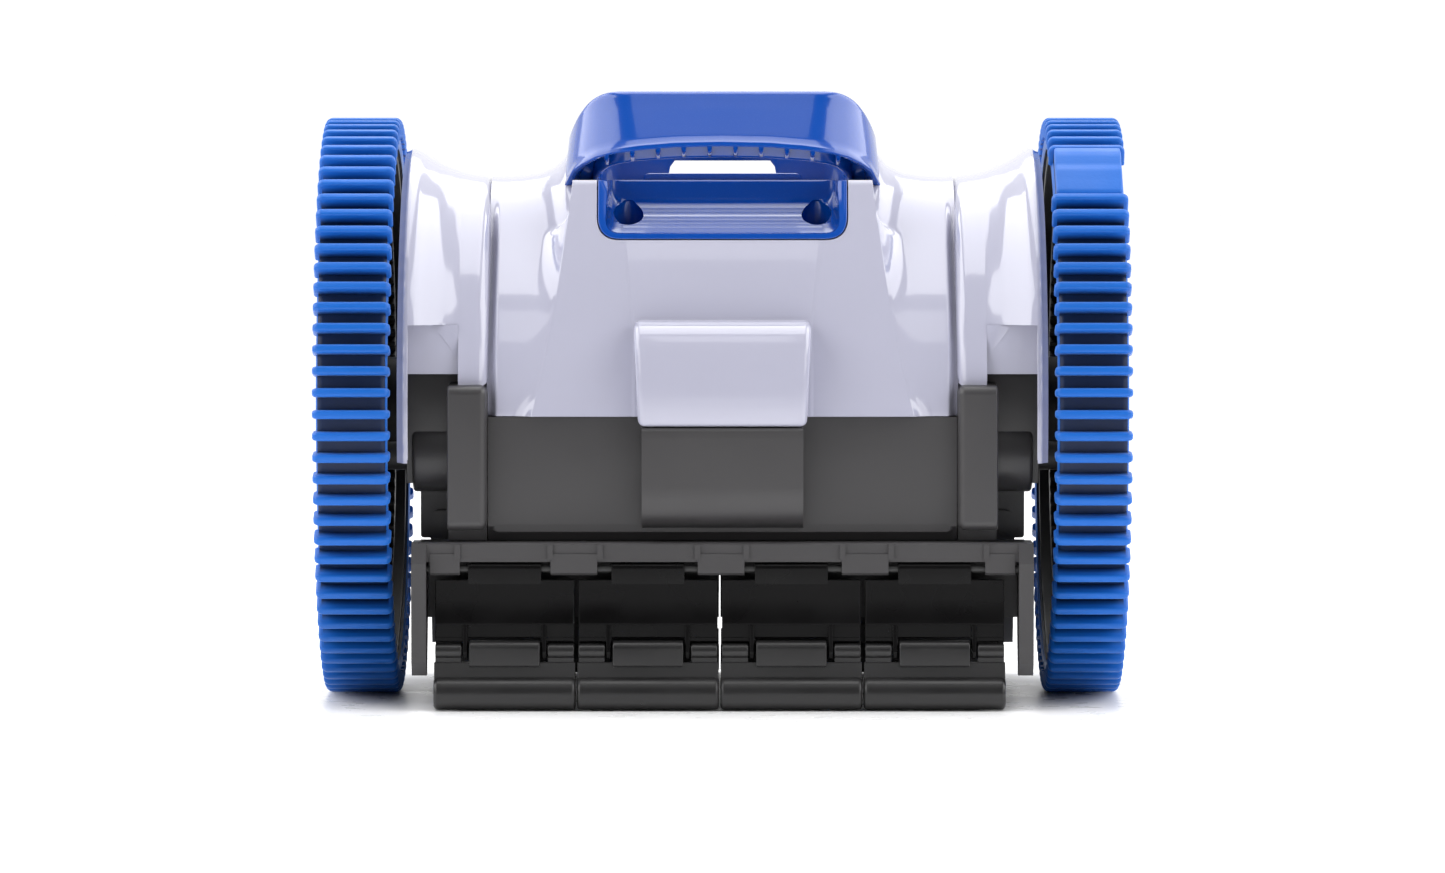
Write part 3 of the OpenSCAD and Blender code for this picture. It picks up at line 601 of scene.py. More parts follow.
FENDER_X = float(box_mm("top_cover")[1][0])
TOWER_TOP = float(box_mm("handle_basin")[1][2])
TOWER_HALF_Y = 66
JOINT_Z = 123.5
STRIP_X = FENDER_X - 4.2
# How far the front panel leans back for each millimetre up, and its distance from the axle line.
LEAN = 0.387
PANEL = TOWER_HALF_Y + LEAN * (TOWER_TOP - AXLE_Z)
COVER_WALL, FENDER_WALL, RIM_WALL = 3.0, 2.4, 6.0
DRUM_R = 100

# Radius of the surface against distance from the middle, over the top and down the fender.
FLARE = [(112.4, 102.0), (119.7, 104.8), (126.0, 108.4), (129.5, 110.9), (131.6, 111.9),
         (133.2, 112.0)]
TOP_PROFILE = np.array([
    (66.5, 111.6), (67.9, 110.8), (69.3, 108.0), (72.9, 104.3), (78.4, 101.6), (85.8, 100.4),
    (95.0, 100.0), (104.0, 100.4), *FLARE])
FENDER_PROFILE = np.array([
    (98.6, 86.0), (98.7, 93.0), (99.1, 96.4), (100.0, 98.6), (101.6, 99.9), (104.0, 100.5),
    (107.0, 100.8), *FLARE])


def smooth_curve(table, x):
    """Reads a table of (x, value) with rounded joins."""
    offsets = np.linspace(-1.6, 1.6, 9)
    return float(np.mean([np.interp(x + o, table[:, 0], table[:, 1]) for o in offsets]))


def drum_r(a):
    """Radius of the drum, which is a little squarer than a circle."""
    return DRUM_R - 5.0 * sin(2 * min(a, pi - a)) ** 2


def tower_r(a):
    """Distance from the axle line to the front panel or the tower's top plane."""
    a = min(a, pi - a)
    panel = PANEL / (cos(a) + LEAN * sin(a))
    top = (TOWER_TOP - AXLE_Z) / max(sin(a), 1e-3)
    return min(panel, top)


def tower_edge(z):
    """Half the width of the front panel."""
    return float(np.interp(z, [123, 131, 140, 160, 186, 205, 223],
                           [81.0, 78.9, 76.5, 72.6, 68.7, 66.2, 64.2]))


def side_reach(z):
    """How far out the sloping side of the tower meets the drum."""
    beyond = float(np.interp(z, [123, 140, 170, 200, 223], [8.0, 8.5, 10.0, 11.0, 12.0]))
    return tower_edge(z) + beyond


def crease_x(z):
    """Where the middle of the front panel is set off by a fine crease."""
    return float(np.interp(z, [160, 198, 223], [37.7, 41.7, 43.0]))


def body_r(x, a):
    """The cover's surface between the panel edge and the groove beside the fender."""
    f = min(a, pi - a)
    up = smooth(radians(46), radians(84), f)
    z = AXLE_Z + tower_r(a) * sin(f)
    base = (1 - up) * drum_r(a) + up * smooth_curve(TOP_PROFILE, max(x, 67.0))
    reach = side_reach(z)
    near = np.clip((reach - x) / (reach - tower_edge(z)), 0, 1)
    lift = (tower_r(a) - base) * (0.75 * near ** 1.5 + 0.25 * near ** 4)
    lift *= 1 - 0.85 * smooth(207, 218, z)
    depth = 4.5 * (1 - smooth(radians(48), radians(68), f))
    return base + lift - depth * smooth(95.2, 98.2, x)


def angles(z_low, r, n):
    """Angles over the top from height z_low at the front to the same at the back."""
    low = asin((z_low - AXLE_Z) / r)
    corner = atan2(TOWER_TOP - AXLE_Z, TOWER_HALF_Y)
    first = list(np.linspace(low, corner, n, endpoint=False))
    over = list(np.linspace(corner, pi - corner, n, endpoint=True))
    last = list(np.linspace(pi - corner, pi - low, n + 1))[1:]
    return first + over + last


def shell(s, rows, thick):
    """Turns a sheet of (x, radius, angle) rows into a closed shell of that thickness."""
    outer = [[polar(x, r, a) for x, r, a in row] for row in rows]
    inner = [[polar(x, r - thick, a) for x, r, a in row] for row in rows]
    n, m = len(rows), len(rows[0])
    faces = []

    def index(k, i, j):
        return (k * n + i) * m + j

    for i in range(n - 1):
        for j in range(m - 1):
            for k, order in ((0, ((0, 0), (1, 0), (1, 1), (0, 1))),
                             (1, ((0, 0), (0, 1), (1, 1), (1, 0)))):
                faces.append(tuple(index(k, i + u, j + v) for u, v in order))
    for i in range(n - 1):
        for j, flip in ((0, False), (m - 1, True)):
            f = (index(0, i, j), index(1, i, j), index(1, i + 1, j), index(0, i + 1, j))
            faces.append(tuple(reversed(f)) if flip else f)
    for j in range(m - 1):
        for i, flip in ((0, True), (n - 1, False)):
            f = (index(0, i, j), index(1, i, j), index(1, i, j + 1), index(0, i, j + 1))
            faces.append(tuple(reversed(f)) if flip else f)
    s.add(np.array(outer + inner, float).reshape(-1, 3), faces)


def centre_rows():
    """The cover between the fenders: raised middle, front panel, sloping sides and grooves."""
    rows = []
    for a in angles(JOINT_Z, 103.9, 60):
        f = min(a, pi - a)
        z = AXLE_Z + tower_r(a) * sin(f)
        edge, crease = tower_edge(z), crease_x(z)
        raised = 0.3 * (1 - smooth(186, 200, z))
        row = [(x, tower_r(a) + raised, a) for x in (*np.linspace(0, crease - 1.0, 7), crease - 0.3)]
        row += [(x, tower_r(a), a) for x in (crease + 0.3, *np.linspace(crease + 1.0, edge - 0.7, 8))]
        row += [(edge - 0.35, tower_r(a) - 0.03, a)]
        row += [(x, body_r(x, a) - 0.1, a) for x in (edge, edge + 0.4)]
        outer = max(side_reach(z), edge + 3)
        row += [(x, body_r(x, a), a) for x in np.linspace(edge + 1.0, outer, 16)]
        row += [(x, body_r(x, a), a) for x in np.linspace(outer, 94.4, 11)[1:]]
        row += [(x, body_r(x, a), a) for x in (95.0, 95.5, 96.0, 96.5, 97.0, 97.5, 98.1, 99.6)]
        rows.append(row)
    return [[(-x, r, a) for x, r, a in reversed(row[1:])] + row for row in rows]


# The square recess in the fender: x from and to, z from and to, depth of its floor and its wall.
RECESS = (111.6, STRIP_X + 0.02, 141.2, 162.0)
RECESS_Y, RECESS_WALL = 96.6, 3


def fender_rows():
    """The fender, from its rounded inner edge to the rim; its lower edge steps up at the recess."""
    xs = [98.6, 98.65, 98.75, 99.0, 99.4, 100.0, 100.8, 101.8, 103.0, 104.6, 106.4, 108.4, 110.2,
          111.2, 111.45, 111.75]
    xs += list(np.linspace(113, 129, 15)) + [130.4, STRIP_X - 0.15, STRIP_X]
    rows = []
    for t in np.linspace(0, 1, 80):
        row = []
        for x in xs:
            r = (smooth_curve(FENDER_PROFILE, x) if x > 104
                 else float(np.interp(x, *FENDER_PROFILE.T)))
            tab = 136.2 + 3.2 * max(0.0, (102.2 - x) / 3.6) ** 2.2
            low = tab if x < RECESS[0] else RECESS[2]
            start = asin((low - AXLE_Z) / r)
            row.append((x, r, start + (pi - 2 * start) * t))
        rows.append(row)
    return rows


def recess_floor(s):
    """The flat floor and thin walls of the square recess, set into the fender."""
    x0, x1, z0, z1 = RECESS
    across, up = np.linspace(x0, x1, 9), np.linspace(z0, z1, 9)

    def edge_y(x, z):
        return sqrt(smooth_curve(FENDER_PROFILE, x) ** 2 - (z - AXLE_Z) ** 2)

    for sign in (-1, 1):
        y = sign * -RECESS_Y
        inner = y - sign * -RECESS_WALL
        s.grid([[(x, y, z) for z in up] for x in across], flip=sign > 0)
        s.grid([[(x, inner, z) for z in up] for x in across], flip=sign < 0)
        s.grid([[(x, y, z0), (x, inner, z0)] for x in (x0, x1)])
        s.grid([[(x, y, z1), (x, sign * -edge_y(x, z1), z1)] for x in across])
        for x in (x0, x1):
            s.grid([[(x, y, z), (x, sign * -edge_y(x, z), z)] for z in up])


def recess_cutter(sign_x, sign_y):
    """The block taken out of a fender for the recess, from just outside its floor outwards."""
    s = Shape()
    x0, x1, _, z1 = RECESS
    corners = ((x0, 130), (x1, 130), (x1, z1), (x0, z1))
    s.rings([[(sign_x * x, sign_y * y, z) for x, z in corners] for y in (-RECESS_Y - 0.2, -125)])
    return s.object("cutter", WHITE)


def strip_rows():
    """The narrow rim that runs on down past the fender."""
    xs = [STRIP_X, STRIP_X + 0.3, 132.6, 133.6, 134.3, 134.8, 135.15, FENDER_X]
    drop = [0, 0, 0, 0.05, 0.2, 0.5, 0.95, 1.8]
    rows = []
    low = asin((104 - AXLE_Z) / (BEAD_R - 0.4))
    for t in np.linspace(0, 1, 96):
        a = low + (pi - 2 * low) * t
        rows.append([(x, min(smooth_curve(FENDER_PROFILE, x), BEAD_R - 0.02) - d, a)
                     for x, d in zip(xs, drop)])
    return rows


def build_cover():
    """The white cover: centre, both fenders with their rims, and the bump on the front."""
    s = Shape()
    shell(s, centre_rows(), COVER_WALL)
    centre = s.object("cover_centre", WHITE, 32)
    # Openings for the hand basin and, through the top, for the hose swivel.
    basin_cut, half = Shape(), 53.5
    outline = rounded([(-half, 240), (-half, 197.5), (half, 197.5), (half, 240)], [0, 10, 10, 0], 10)
    basin_cut.rings([[(x, y, z) for x, z in outline] for y in (-110, -33.5)])
    hole, r, hole_y = Shape(), 24.4, 4
    hole.rings([[(r * cos(t), hole_y + r * sin(t), z) for t in circle(64)]
                for z in (200, 240)])
    cut(centre, basin_cut.object("cutter_basin", WHITE), hole.object("cutter_hole", WHITE))
    f = Shape()
    shell(f, fender_rows(), FENDER_WALL)
    fenders = []
    for sign in (1, -1):
        part = Shape()
        part.add(np.concatenate(f.verts) * (sign, 1, 1), f.faces)
        obj = part.object(f"cover_fender_{sign}", WHITE, 40)
        cut(obj, recess_cutter(sign, 1), recess_cutter(sign, -1))
        soften(obj, 0.45, 2, 55)
        apply_modifiers(obj)
        fenders.append(obj)
    rim = Shape()
    shell(rim, strip_rows(), RIM_WALL)
    recess_floor(rim)
    rim.mirror_x()
    strips = rim.object("cover_rims", WHITE, 50)
    return join([centre, *fenders, strips, build_bump()], "top_cover_shell", 35)


def join(objects, name, sharp):
    """Makes one object out of several meshes."""
    bm = bmesh.new()
    for o in objects:
        bm.from_mesh(o.data)
    mesh = bpy.data.meshes.new(name)
    bm.to_mesh(mesh)
    bm.free()
    for m in objects[0].data.materials:
        mesh.materials.append(m)
    for polygon in mesh.polygons:
        polygon.use_smooth = True
    mesh.set_sharp_from_angle(angle=radians(sharp))
    for o in objects:
        bpy.data.objects.remove(o)
    obj = bpy.data.objects.new(name, mesh)
    scene.collection.objects.link(obj)
    return obj


def swept_bump(half_top, half_low, profile, edge, name, material, back_y):
    """A raised block on the front and back: side view swept across, its side edges rounded."""
    s = Shape()
    profile = np.array(profile, float)
    normals = []
    for i in range(len(profile)):
        a, b = profile[max(i - 1, 0)], profile[min(i + 1, len(profile) - 1)]
        d = (b - a) / np.linalg.norm(b - a)
        normals.append((d[1], -d[0]))
    normals = np.array(normals)
    if normals[len(normals) // 2][0] > 0:
        normals = -normals
    z_low, z_high = profile[:, 1].min(), profile[:, 1].max()
    columns = [(edge * (1 - cos(t)), edge * (1 - sin(t))) for t in quarter(8)]
    rows = []
    for side in (-1, 1):
        for across, inset in (columns if side < 0 else columns[::-1]):
            row = []
            for p, n in zip(profile, normals):
                q = p - n * inset
                k = (p[1] - z_low) / (z_high - z_low)
                half = half_low + (half_top - half_low) * k
                row.append((side * (half - across), q[0], q[1]))
            rows.append(row)
    for sign in (1, -1):
        grid = np.array(rows) * (1, sign, 1)
        s.grid(grid, flip=sign < 0)
        for border in (grid[0], grid[-1], grid[:, 0], grid[:, -1]):
            backs = border.copy()
            backs[:, 1] = sign * back_y
            s.grid([border, backs])
    return s.object(name, material, 38)


def build_bump():
    """The white bump in the middle of the front, and the same at the back."""
    profile = [(-86.0, 164.2), (-95.0, 163.8), (-100.0, 163.2), (-103.8, 161.8), (-106.8, 159.2),
               (-108.8, 156.0), (-110.2, 152.0), (-111.1, 147.5), (-111.6, 142.0), (-111.9, 136.0),
               (-111.9, 128.0), (-111.8, 122.5), (-111.3, 120.6), (-110.2, 119.6), (-108.5, 119.4),
               (-102.0, 119.4)]
    return swept_bump(37.6, 35.6, profile, 3.0, "cover_bump", WHITE, -84)


finish_piece(build_cover(), "base", "white_shell", "top_cover")


def with_cad(node, extra, name, ease):
    """One object out of a CAD node's mesh and an extra shape, its edges eased."""
    copy = NODES[node].copy()
    copy.data = NODES[node].data.copy()
    obj = join([copy, extra.object(f"{name}_extra", BLACK, 30)], name, 30)
    soften(obj, ease)
    return obj


def build_body():
    """The black body with a squared lower edge along its front and back faces."""
    lip, half, low, high = Shape(), 97.2, 74.2, 79
    outline = rounded([(-half, high), (-half, low), (half, low), (half, high)], [0, 2.6, 2.6, 0], 6)
    for sign in (-1, 1):
        lip.rings([[(x * k, sign * y, z + (1 - k) * 50) for x, z in outline][::sign]
                   for y, k in ((-99.55, 0.985), (-99.4, 0.993), (-98.8, 1.0), (-91, 1.0))])
    return with_cad("lower_body", lip, "lower_body_shell", 0.25)


finish_piece(build_body(), "base", "black_body", "lower_body")


def build_carrier(row, sign):
    """The flap carrier with the thin wall that hangs behind the flap row."""
    wall = Shape()
    for xa, xb in ((-125.5, -1.5), (-0.9, 125.5)):
        prism(wall, xa, xb, [(-90, 38), (-90, 67), (-88.4, 67), (-88.4, 38)], sign)
    return with_cad(f"{row}_flap_carrier", wall, f"{row}_carrier_frame", 0.5)


for row, sign in (("front", 1), ("rear", -1)):
    finish_piece(build_carrier(row, sign), "base", "black_body", f"{row}_flap_carrier")

# ---- handle

HANDLE_LOW, HANDLE_HIGH = box_mm("carry_handle")
HANDLE_X, HANDLE_BACK, HANDLE_TOP = (float(v) for v in HANDLE_HIGH)
HANDLE_FRONT = float(HANDLE_LOW[1])
CORNER_R = 33.0
# Height of the grip's lower edge against distance from the middle, and at the sides and the back.
GRIP_LOW = ([0, 20, 35, 47, 54, 60, 65, 69],
            [237.4, 237.0, 235.8, 234.2, 232.4, 229.4, 225.6, 221.0])
SIDE_LOW, BACK_LOW = 218.6, 231.3


def handle_stations():
    """Places round the handle: foot (x, y), shoulder (x, y) and turn.

    turn is 0 at the front, 90 at the side and 180 at the back. The foot is the loop's lower outer
    edge and the shoulder its upper one; each has its own corner radius at the front and the back.
    """
    foot_x, shoulder_x = HANDLE_X, HANDLE_X - 3.0
    r, y, q, v = CORNER_R, HANDLE_FRONT, 28.0, HANDLE_FRONT + 12.8
    br, by, bq, bv = 24.0, HANDLE_BACK, 22.0, HANDLE_BACK - 2.0
    for k in np.linspace(0, 1, 12, endpoint=False):
        yield (k * (foot_x - r), y), (k * (shoulder_x - q), v), 0.0
    for t in np.linspace(0, 90, 36, endpoint=False):
        c, n = cos(radians(t)), sin(radians(t))
        yield (foot_x - r + r * n, y + r - r * c), (shoulder_x - q + q * n, v + q - q * c), t
    for k in np.linspace(0, 1, 14, endpoint=False):
        foot_y = (y + r) * (1 - k) + (by - br) * k
        yield (foot_x, foot_y), (shoulder_x, (v + q) * (1 - k) + (bv - bq) * k), 90.0
    for t in np.linspace(90, 180, 20, endpoint=False):
        c, n = cos(radians(t - 90)), sin(radians(t - 90))
        foot = (foot_x - br + br * c, by - br + br * n)
        yield foot, (shoulder_x - bq + bq * c, bv - bq + bq * n), t
    for k in np.linspace(1, 0, 24):
        yield (k * (foot_x - br), by), (k * (shoulder_x - bq), bv), 180.0


def handle_section(foot, shoulder, turn):
    """Closed section at one place as 3-D points, from the outer foot up, over and down inside."""
    t = radians(min(turn, 90))
    front = cos(t)
    x, y = foot
    along = (y - HANDLE_FRONT) / (HANDLE_BACK - HANDLE_FRONT)
    top = HANDLE_TOP - 15.5 * sin(t) ** 4
    top -= 5.0 * along if turn >= 90 else 1.5 * sin(t) ** 6
    low = float(np.interp(x, *GRIP_LOW))
    if turn >= 60:
        low += (SIDE_LOW - low) * smooth(55, 88, turn)
    if turn > 170:
        low += (BACK_LOW - low) * smooth(25.6, 22.6, x)
    thick = 7.5 * front + 12.5 * (1 - front)
    under = low - 4.6 * front
    nx, ny = sin(radians(turn)), -cos(radians(turn))

    def at(k, inward, z):
        """k runs from the foot line to the shoulder line; inward is measured from there."""
        return (foot[0] * (1 - k) + shoulder[0] * k - nx * inward,
                foot[1] * (1 - k) + shoulder[1] * k - ny * inward, z)

    def up(k):
        """Height at the fraction k of the outer face."""
        return low + (top - 3.0 - low) * k

    roof = low + 0.6 + (top - 6.1 - low) * (1 - smooth(28, 62, turn))
    points = [at(0, 0.55, low), at(0, 0.0, low + 0.7), at(0.02, 0.05, low + 1.9), at(0.15, 0.45, up(0.13)),
              at(0.28, 0.3, up(0.25)), at(0.52, 0, up(0.5)), at(0.77, 0, up(0.75)), at(1, -0.15, top - 3.0),
              at(1, 0.35, top - 1.5), at(1, 1.2, top - 0.5), at(1, 2.6, top), at(1, thick - 2.2, top),
              at(1, thick - 0.8, top - 0.4), at(1, thick - 0.15, top - 1.3), at(1, thick, top - 2.6),
              at(1, thick, under + 0.8), at(1, thick - 0.4, under + 0.1), at(1, thick - 1.2, under),
              at(1, thick - 2.0, under + 0.2)]
    # The front grip is a channel that is open below; the sides and the back are closed.
    if turn < 85:
        return points + [at(1, thick - 2.5, under + 0.9), at(1, thick - 2.5, roof), at(1, 2.4, roof),
                         at(0.52, 2.6, min(roof - 0.1, up(0.5))),
                         at(0.2, 2.9, min(roof - 0.2, up(0.2))),
                         at(0, 2.9, min(roof - 0.3, low + 0.7)), at(0, 2.4, low)]
    return points + [at(1, thick - 2.5, low + 0.1), at(1, thick - 4.0, low), at(1, 4.0, low),
                     at(1, 3.0, low), at(0.5, 3.0, low), at(0, 3.4, low), at(0, 2.0, low)]


def build_handle():
    """The loop handle with the cross ribs of its grip."""
    s = Shape()
    rows = [handle_section(*place) for place in handle_stations()]
    full = [[(-x, y, z) for x, y, z in row] for row in reversed(rows[1:-1])] + rows
    s.grid(full, loop_u=True, loop_v=True)
    # Cross ribs inside the channel of the front grip, with rounded lower ends.
    for x in np.arange(-49.5, 50, 11.0):
        reach = max(0.0, abs(x) - (HANDLE_X - CORNER_R)) / CORNER_R
        y = HANDLE_FRONT + CORNER_R * (1 - sqrt(1 - reach ** 2))
        low = float(np.interp(abs(x), *GRIP_LOW))
        inside = [(2.4, low + 1.0), (11.0, low + 16), (18.5, low + 16), (18.5, low - 4.0),
                  (16.0, low - 4.2), (9.0, low - 2.8), (5.0, low - 1.8), (3.0, low - 0.4)]
        s.rings([[(x + dx, y + d, z + shrink) for d, z in inside]
                 for dx, shrink in ((-1.0, 0.5), (-0.7, 0.12), (0, 0), (0.7, 0.12), (1.0, 0.5))])
    return s.object("carry_handle_loop", BLUE, 42)


finish_piece(build_handle(), "base", "blue_handle", "carry_handle")

# ---- basin

BASIN_LOW, BASIN_HIGH = box_mm("handle_basin")
BASIN_WALL = 3.1
# The basin's hollow from front to back: y, height of the floor, and how far its sides draw in.
BASIN_FLOOR = (
    (-84, 200.3, 0), (-74.2, 200.2, 0), (-72.8, 200.3, 0.1), (-71.5, 200.7, 0.3), (-69, 201.5, 0.6),
    (-65, 202.8, 0.9), (-61, 204.25, 1.1), (-57, 205.8, 1.3), (-53, 207.5, 1.5),
    (-49, 209.45, 1.7), (-46, 211.1, 1.8), (-44.2, 212.3, 1.9), (-43, 213.6, 1.9),
    (-42.2, 215.3, 2.0), (-41.5, 218, 2.1), (-40.7, 221.5, 2.2), (-39.7, 225.0, 2.2),
    (-38.5, 228.0, 2.2))


def panel_y(z):
    """Depth of the cover's front panel at height z."""
    return -(PANEL - LEAN * (z - AXLE_Z))


def build_basin():
    """A cup whose floor slopes up to a back wall, with a screw pocket at both ends."""
    half, back, high = (float(v) for v in BASIN_HIGH)
    low = float(BASIN_LOW[2])
    s = Shape()
    outer = rounded([(-half, high), (-half, low), (half, low), (half, high)], [0, 9.5, 9.5, 0], 10)
    s.rings([[(x, panel_y(z) + inset - 0.4, z) for x, z in outer] for inset in (0, 8)]
            + [[(x, back, z) for x, z in outer]])
    body = s.object("basin_body", BLUE, 30)
    soften(body, 0.5, 3, 50)
    apply_modifiers(body)
    # The hollow: sections from front to back, each a rounded U whose floor climbs.
    c = Shape()
    rings = []
    for y, floor, side in BASIN_FLOOR:
        inside, over, r = half - BASIN_WALL - side, high + 9, min(6.6, high + 8 - floor)
        corners = [(-inside, over), (-inside, floor), (inside, floor), (inside, over)]
        rings.append([(x, y, z) for x, z in rounded(corners, [0, r, r, 0], 10)])
    c.rings(rings)
    pockets = []
    for sign in (-1, 1):
        pocket = Shape()
        sections = []
        for u in np.linspace(0, 1, 18):
            wide = 7.1 * sqrt(max(1 - (u * 0.94) ** 3, 0.02))
            deep, z = 11.0 - 3.0 * u, 201.4 + 13.0 * u
            sections.append([(sign * 40.4 + wide * cos(v), -52 + 3.0 * u + deep * sin(v), z)
                             for v in circle(32)])
        pocket.rings(sections)
        pockets.append(pocket.object("cutter_pocket", BLUE))
    cut(body, c.object("cutter_tub", BLUE), *pockets)
    # A low lip stands up along the back edge.
    lip, side, foot, top = Shape(), 34, high - 2, high + 2.9
    outline = rounded([(-side, foot), (side, foot), (side, top), (-side, top)], [0, 0, 2.7, 2.7], 6)
    lip.rings([[(x * k, y, z - (1 - k) * 12) for x, z in outline]
               for y, k in ((back - 4.6, 0.985), (back - 4.2, 1), (back - 0.6, 1), (back - 0.2, 0.985))])
    return join([body, lip.object("basin_lip", BLUE)], "handle_basin_cup", 35)


finish_piece(build_basin(), "base", "blue_handle", "handle_basin")

# ---- gear pods


def hull_outline(circles, n=40):
    """Convex outline round circles given as (y, z, radius)."""
    points = [(y + r * cos(t), z + r * sin(t)) for y, z, r in circles for t in circle(n)]
    points = sorted(set((round(a, 4), round(b, 4)) for a, b in points))

    def side_of(o, a, b):
        return (a[0] - o[0]) * (b[1] - o[1]) - (a[1] - o[1]) * (b[0] - o[0])

    halves = []
    for seq in (points, points[::-1]):
        chain = []
        for p in seq:
            while len(chain) > 1 and side_of(chain[-2], chain[-1], p) <= 0:
                chain.pop()
            chain.append(p)
        halves.append(chain[:-1])
    return np.array(halves[0] + halves[1])


# Gear case: height of its front over the axle, outer face, and the rounding of its inner and
# outer edges. Boss: centre (y, z) and radius. Splash wall: (x, radius) section and half its arc.
POD_RISE, POD_X, POD_INNER_EDGE, POD_OUTER_EDGE = 11.5, 116.0, 3.4, 1.0
# Circles (y, z, radius) round the gears inside, which the case wraps.
POD_GEARS = ((0, AXLE_Z, 18), (0, 96, 18), (40, 101, 17))
BOSS_Y, BOSS_Z, BOSS_R = -77.71, 106.0, 15.25
SPLASH = ((111.8, 89), (133.8, 89), (134.2, 88.6), (134.2, 86.4), (133.8, 86), (111.8, 86))
SPLASH_HALF = 20
# Stay below the boss, the block that fills the corner beside the body, and the stay's raised
# pad: x, y and z from and to, and the rounding of the outer corners.
STAYS = (((115.5, 128.5), (-72, -68), (70.8, 104), 1.5),
         ((99.5, 115.8), (-96, -60), (70.9, 78.5), 0.1),
         ((115.5, 123.5), (-74.5, -71.5), (73.5, 82.5), 3.0))


def build_pod():
    """Gear case with an upright front, bearing boss, splash walls and stay."""
    lo = box_mm("gear_case_right")[0]
    front, low, high = float(lo[1]), float(lo[2]), AXLE_Z + POD_RISE
    x0, boss_x = float(lo[0]), float(box_mm("gear_case_cover_right")[1][0])
    s = Shape()
    outline = hull_outline([(front + 4, low + 4, 4), (front + 4, high - 4, 4), *POD_GEARS])
    normals = np.roll(outline, -1, 0) - np.roll(outline, 1, 0)
    normals = np.stack([normals[:, 1], -normals[:, 0]], 1)
    normals /= np.linalg.norm(normals, axis=1)[:, None]
    sections = []
    for x, edge, sign, bend in ((x0, POD_INNER_EDGE, 1, quarter(7)),
                                (POD_X, POD_OUTER_EDGE, -1, quarter(5)[::-1])):
        sections += [(x + sign * edge * (1 - cos(t)), edge * (1 - sin(t))) for t in bend]
    s.rings([[(x, p[0] - n[0] * inset, p[1] - n[1] * inset) for p, n in zip(outline, normals)]
             for x, inset in sections])
    # Bearing boss with a rounded outer edge and a stepped bore.
    steps = [(POD_X - 1.0, BOSS_R), (boss_x - 1.6, BOSS_R), (boss_x - 0.7, BOSS_R - 0.3),
             (boss_x - 0.2, BOSS_R - 0.9), (boss_x, BOSS_R - 1.8), (boss_x, 9.0),
             (boss_x - 1.2, 8.6), (boss_x - 1.2, 6.3), (boss_x - 6, 6.3)]
    s.grid([[(x, BOSS_Y + q * cos(t), BOSS_Z + q * sin(t)) for x, q in steps]
            for t in circle(72)], loop_u=True)
    # Splash walls that close the space under the fender, at the front and the back.
    for back in (-1, 1):
        rows = [[(x, back * q * cos(t), AXLE_Z + q * sin(t)) for x, q in SPLASH]
                for t in np.linspace(radians(-SPLASH_HALF), radians(SPLASH_HALF), 24)]
        s.rings(rows[::-back])
    for (xa, xb), ends, (za, zb), corner in STAYS:
        face = rounded([(xa, za), (xb, za), (xb, zb), (xa, zb)], [0, corner, corner, 0], 6)
        s.rings([[(x, y, z) for x, z in face] for y in ends])
    s.mirror_x()
    return s


def pods():
    """Makes one piece of each half of the mirrored pair."""
    both = build_pod()
    half = len(both.faces) // 2
    verts = np.concatenate(both.verts)
    count = len(verts) // 2
    for side, k in (("right", 0), ("left", 1)):
        part = Shape()
        part.add(verts[k * count:(k + 1) * count],
                 [tuple(i - k * count for i in f) for f in both.faces[k * half:(k + 1) * half]])
        finish_piece(part.object(f"gear_pod_{side}", BLACK, 38), "base", "black_body",
                     f"gear_case_{side}", f"gear_case_cover_{side}")


pods()

# ---- floor, lights, camera


def floor_material():
    """A pale matt floor with a faint grain."""
    m = Nodes("studio_floor")
    colour = m.ramp(m.noise(2.0), [(0.3, (0.60, 0.60, 0.603)), (0.7, (0.61, 0.61, 0.613))])
    m.link(colour, m.shader.inputs["Base Color"])
    m.link(m.spread(m.noise(60.0), 0.26, 0.32), m.shader.inputs["Roughness"])
    m.link(m.bump(m.noise(400.0), 0.02, 0.0001), m.shader.inputs["Normal"])
    m.shader.inputs["Specular IOR Level"].default_value = 0.12
    return m.material


floor_shape = Shape()
floor_shape.grid([[(x, y, 0) for y in np.linspace(-6000, 30000, 7)]
                  for x in np.linspace(-16000, 16000, 7)], flip=True)
floor = floor_shape.object("studio_floor", floor_material())


def area(name, location, target, size, power):
    """A soft rectangular light; places and sizes in metres, power in watts."""
    data = bpy.data.lights.new(name, "AREA")
    data.shape = "RECTANGLE"
    data.size, data.size_y = size
    data.energy = power
    obj = bpy.data.objects.new(name, data)
    obj.location = location
    direction = Vector(target) - Vector(location)
    obj.rotation_euler = direction.to_track_quat("-Z", "Y").to_euler()
    scene.collection.objects.link(obj)


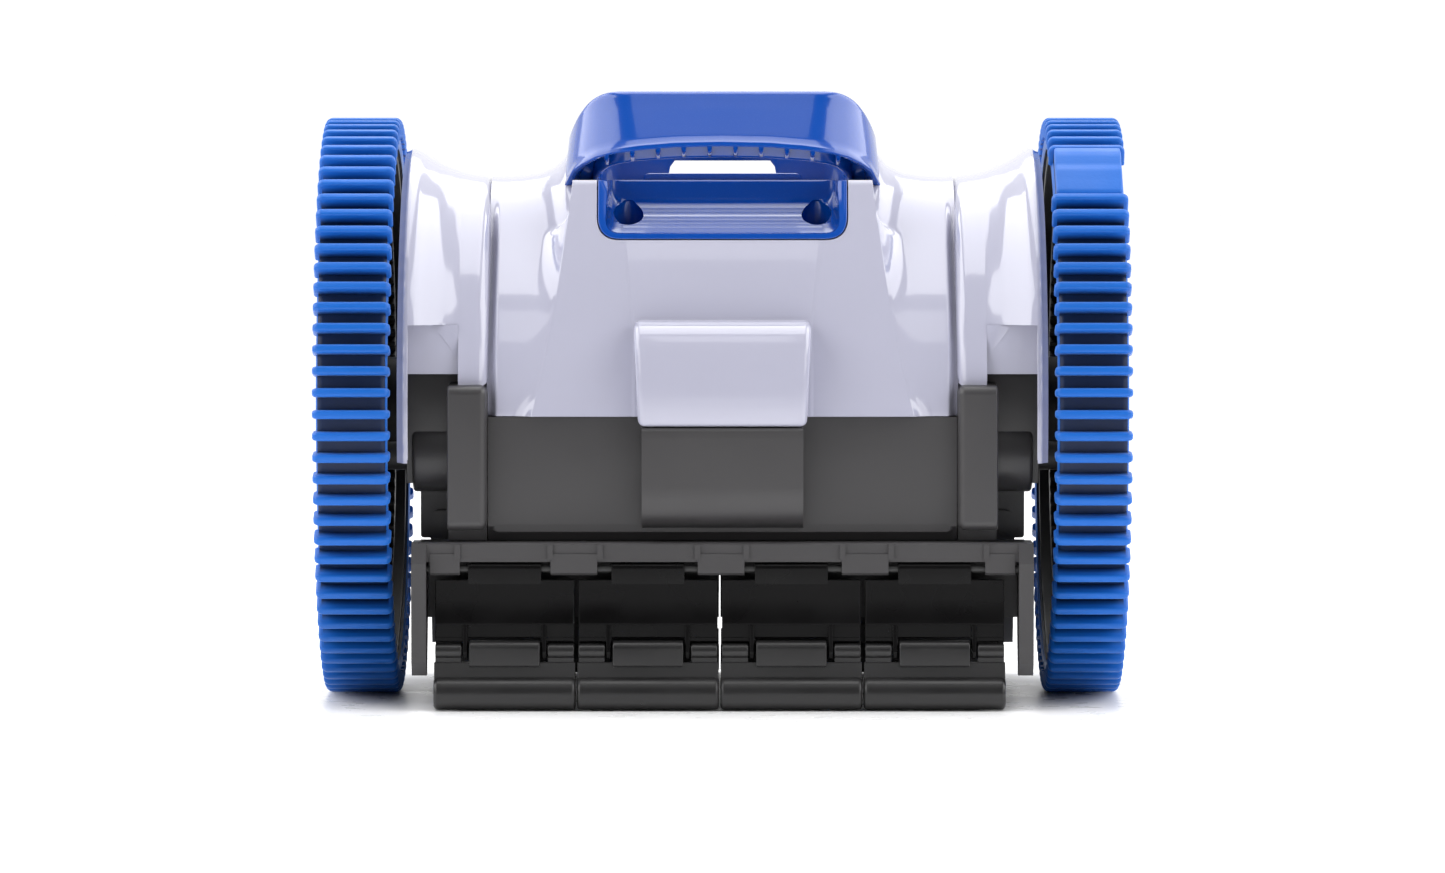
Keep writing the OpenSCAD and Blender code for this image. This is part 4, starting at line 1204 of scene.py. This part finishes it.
MIDDLE = (0, 0, 0.12)
area("overhead", (0, 0.28, 1.7), (0, 0.23, 0.1), (1.0, 1.8), 14)
area("front_high", (0, -1.55, 2.15), MIDDLE, (0.55, 0.8), 1.5)
area("rear_high", (0, 1.75, 1.95), MIDDLE, (1.6, 1.2), 8)
for k in (-1, 1):
    area("side", (k * 1.75, 0.05, 1.5), MIDDLE, (3.0, 1.9), 54)
    area("front_side", (k * 1.7, -1.9, 0.85), MIDDLE, (1.3, 1.1), 9)

# A wide soft light that reaches the floor only, so that the whole floor stays pale.
floor_only = bpy.data.collections.new("floor_only")
floor_only.objects.link(floor)
sun_data = bpy.data.lights.new("floor_wash", "SUN")
sun_data.energy = 4.2
sun_data.angle = radians(70)
sun = bpy.data.objects.new("floor_wash", sun_data)
sun.light_linking.receiver_collection = floor_only
scene.collection.objects.link(sun)


def studio_world():
    """A studio that is white behind the object, dim in front and soft at the sides."""
    world = bpy.data.worlds.new("studio")
    world.use_nodes = True
    tree = world.node_tree
    coords = tree.nodes.new("ShaderNodeTexCoord")
    split = tree.nodes.new("ShaderNodeSeparateXYZ")
    ramp = tree.nodes.new("ShaderNodeValToRGB")
    shift = tree.nodes.new("ShaderNodeMapRange")
    shift.inputs["From Min"].default_value = -1.0
    tree.links.new(coords.outputs["Generated"], split.inputs["Vector"])
    tree.links.new(split.outputs["Y"], shift.inputs["Value"])
    tree.links.new(shift.outputs["Result"], ramp.inputs["Fac"])
    stops = ramp.color_ramp.elements
    stops[0].position, stops[0].color = 0.0, (0.07, 0.07, 0.072, 1)
    stops[1].position, stops[1].color = 1.0, (1.06, 1.06, 1.06, 1)
    for position, level in ((0.25, 0.14), (0.5, 0.36), (0.75, 0.75), (0.92, 1.06)):
        stop = stops.new(position)
        stop.color = (level, level, level * 1.01, 1)
    tree.links.new(ramp.outputs["Color"], tree.nodes["Background"].inputs["Color"])
    return world


scene.world = studio_world()

CAMERA_AWAY, CAMERA_UP, CAMERA_DIP = 3.125, 0.229, 2.159
camera_data = bpy.data.cameras.new("camera")
camera_data.sensor_width = 36.0
camera_data.lens = 178.75
camera_data.clip_end = 60.0
camera = bpy.data.objects.new("camera", camera_data)
camera.location = (0.0, -CAMERA_AWAY, CAMERA_UP)
camera.rotation_euler = (radians(90 - CAMERA_DIP), 0, 0)
scene.collection.objects.link(camera)
scene.camera = camera
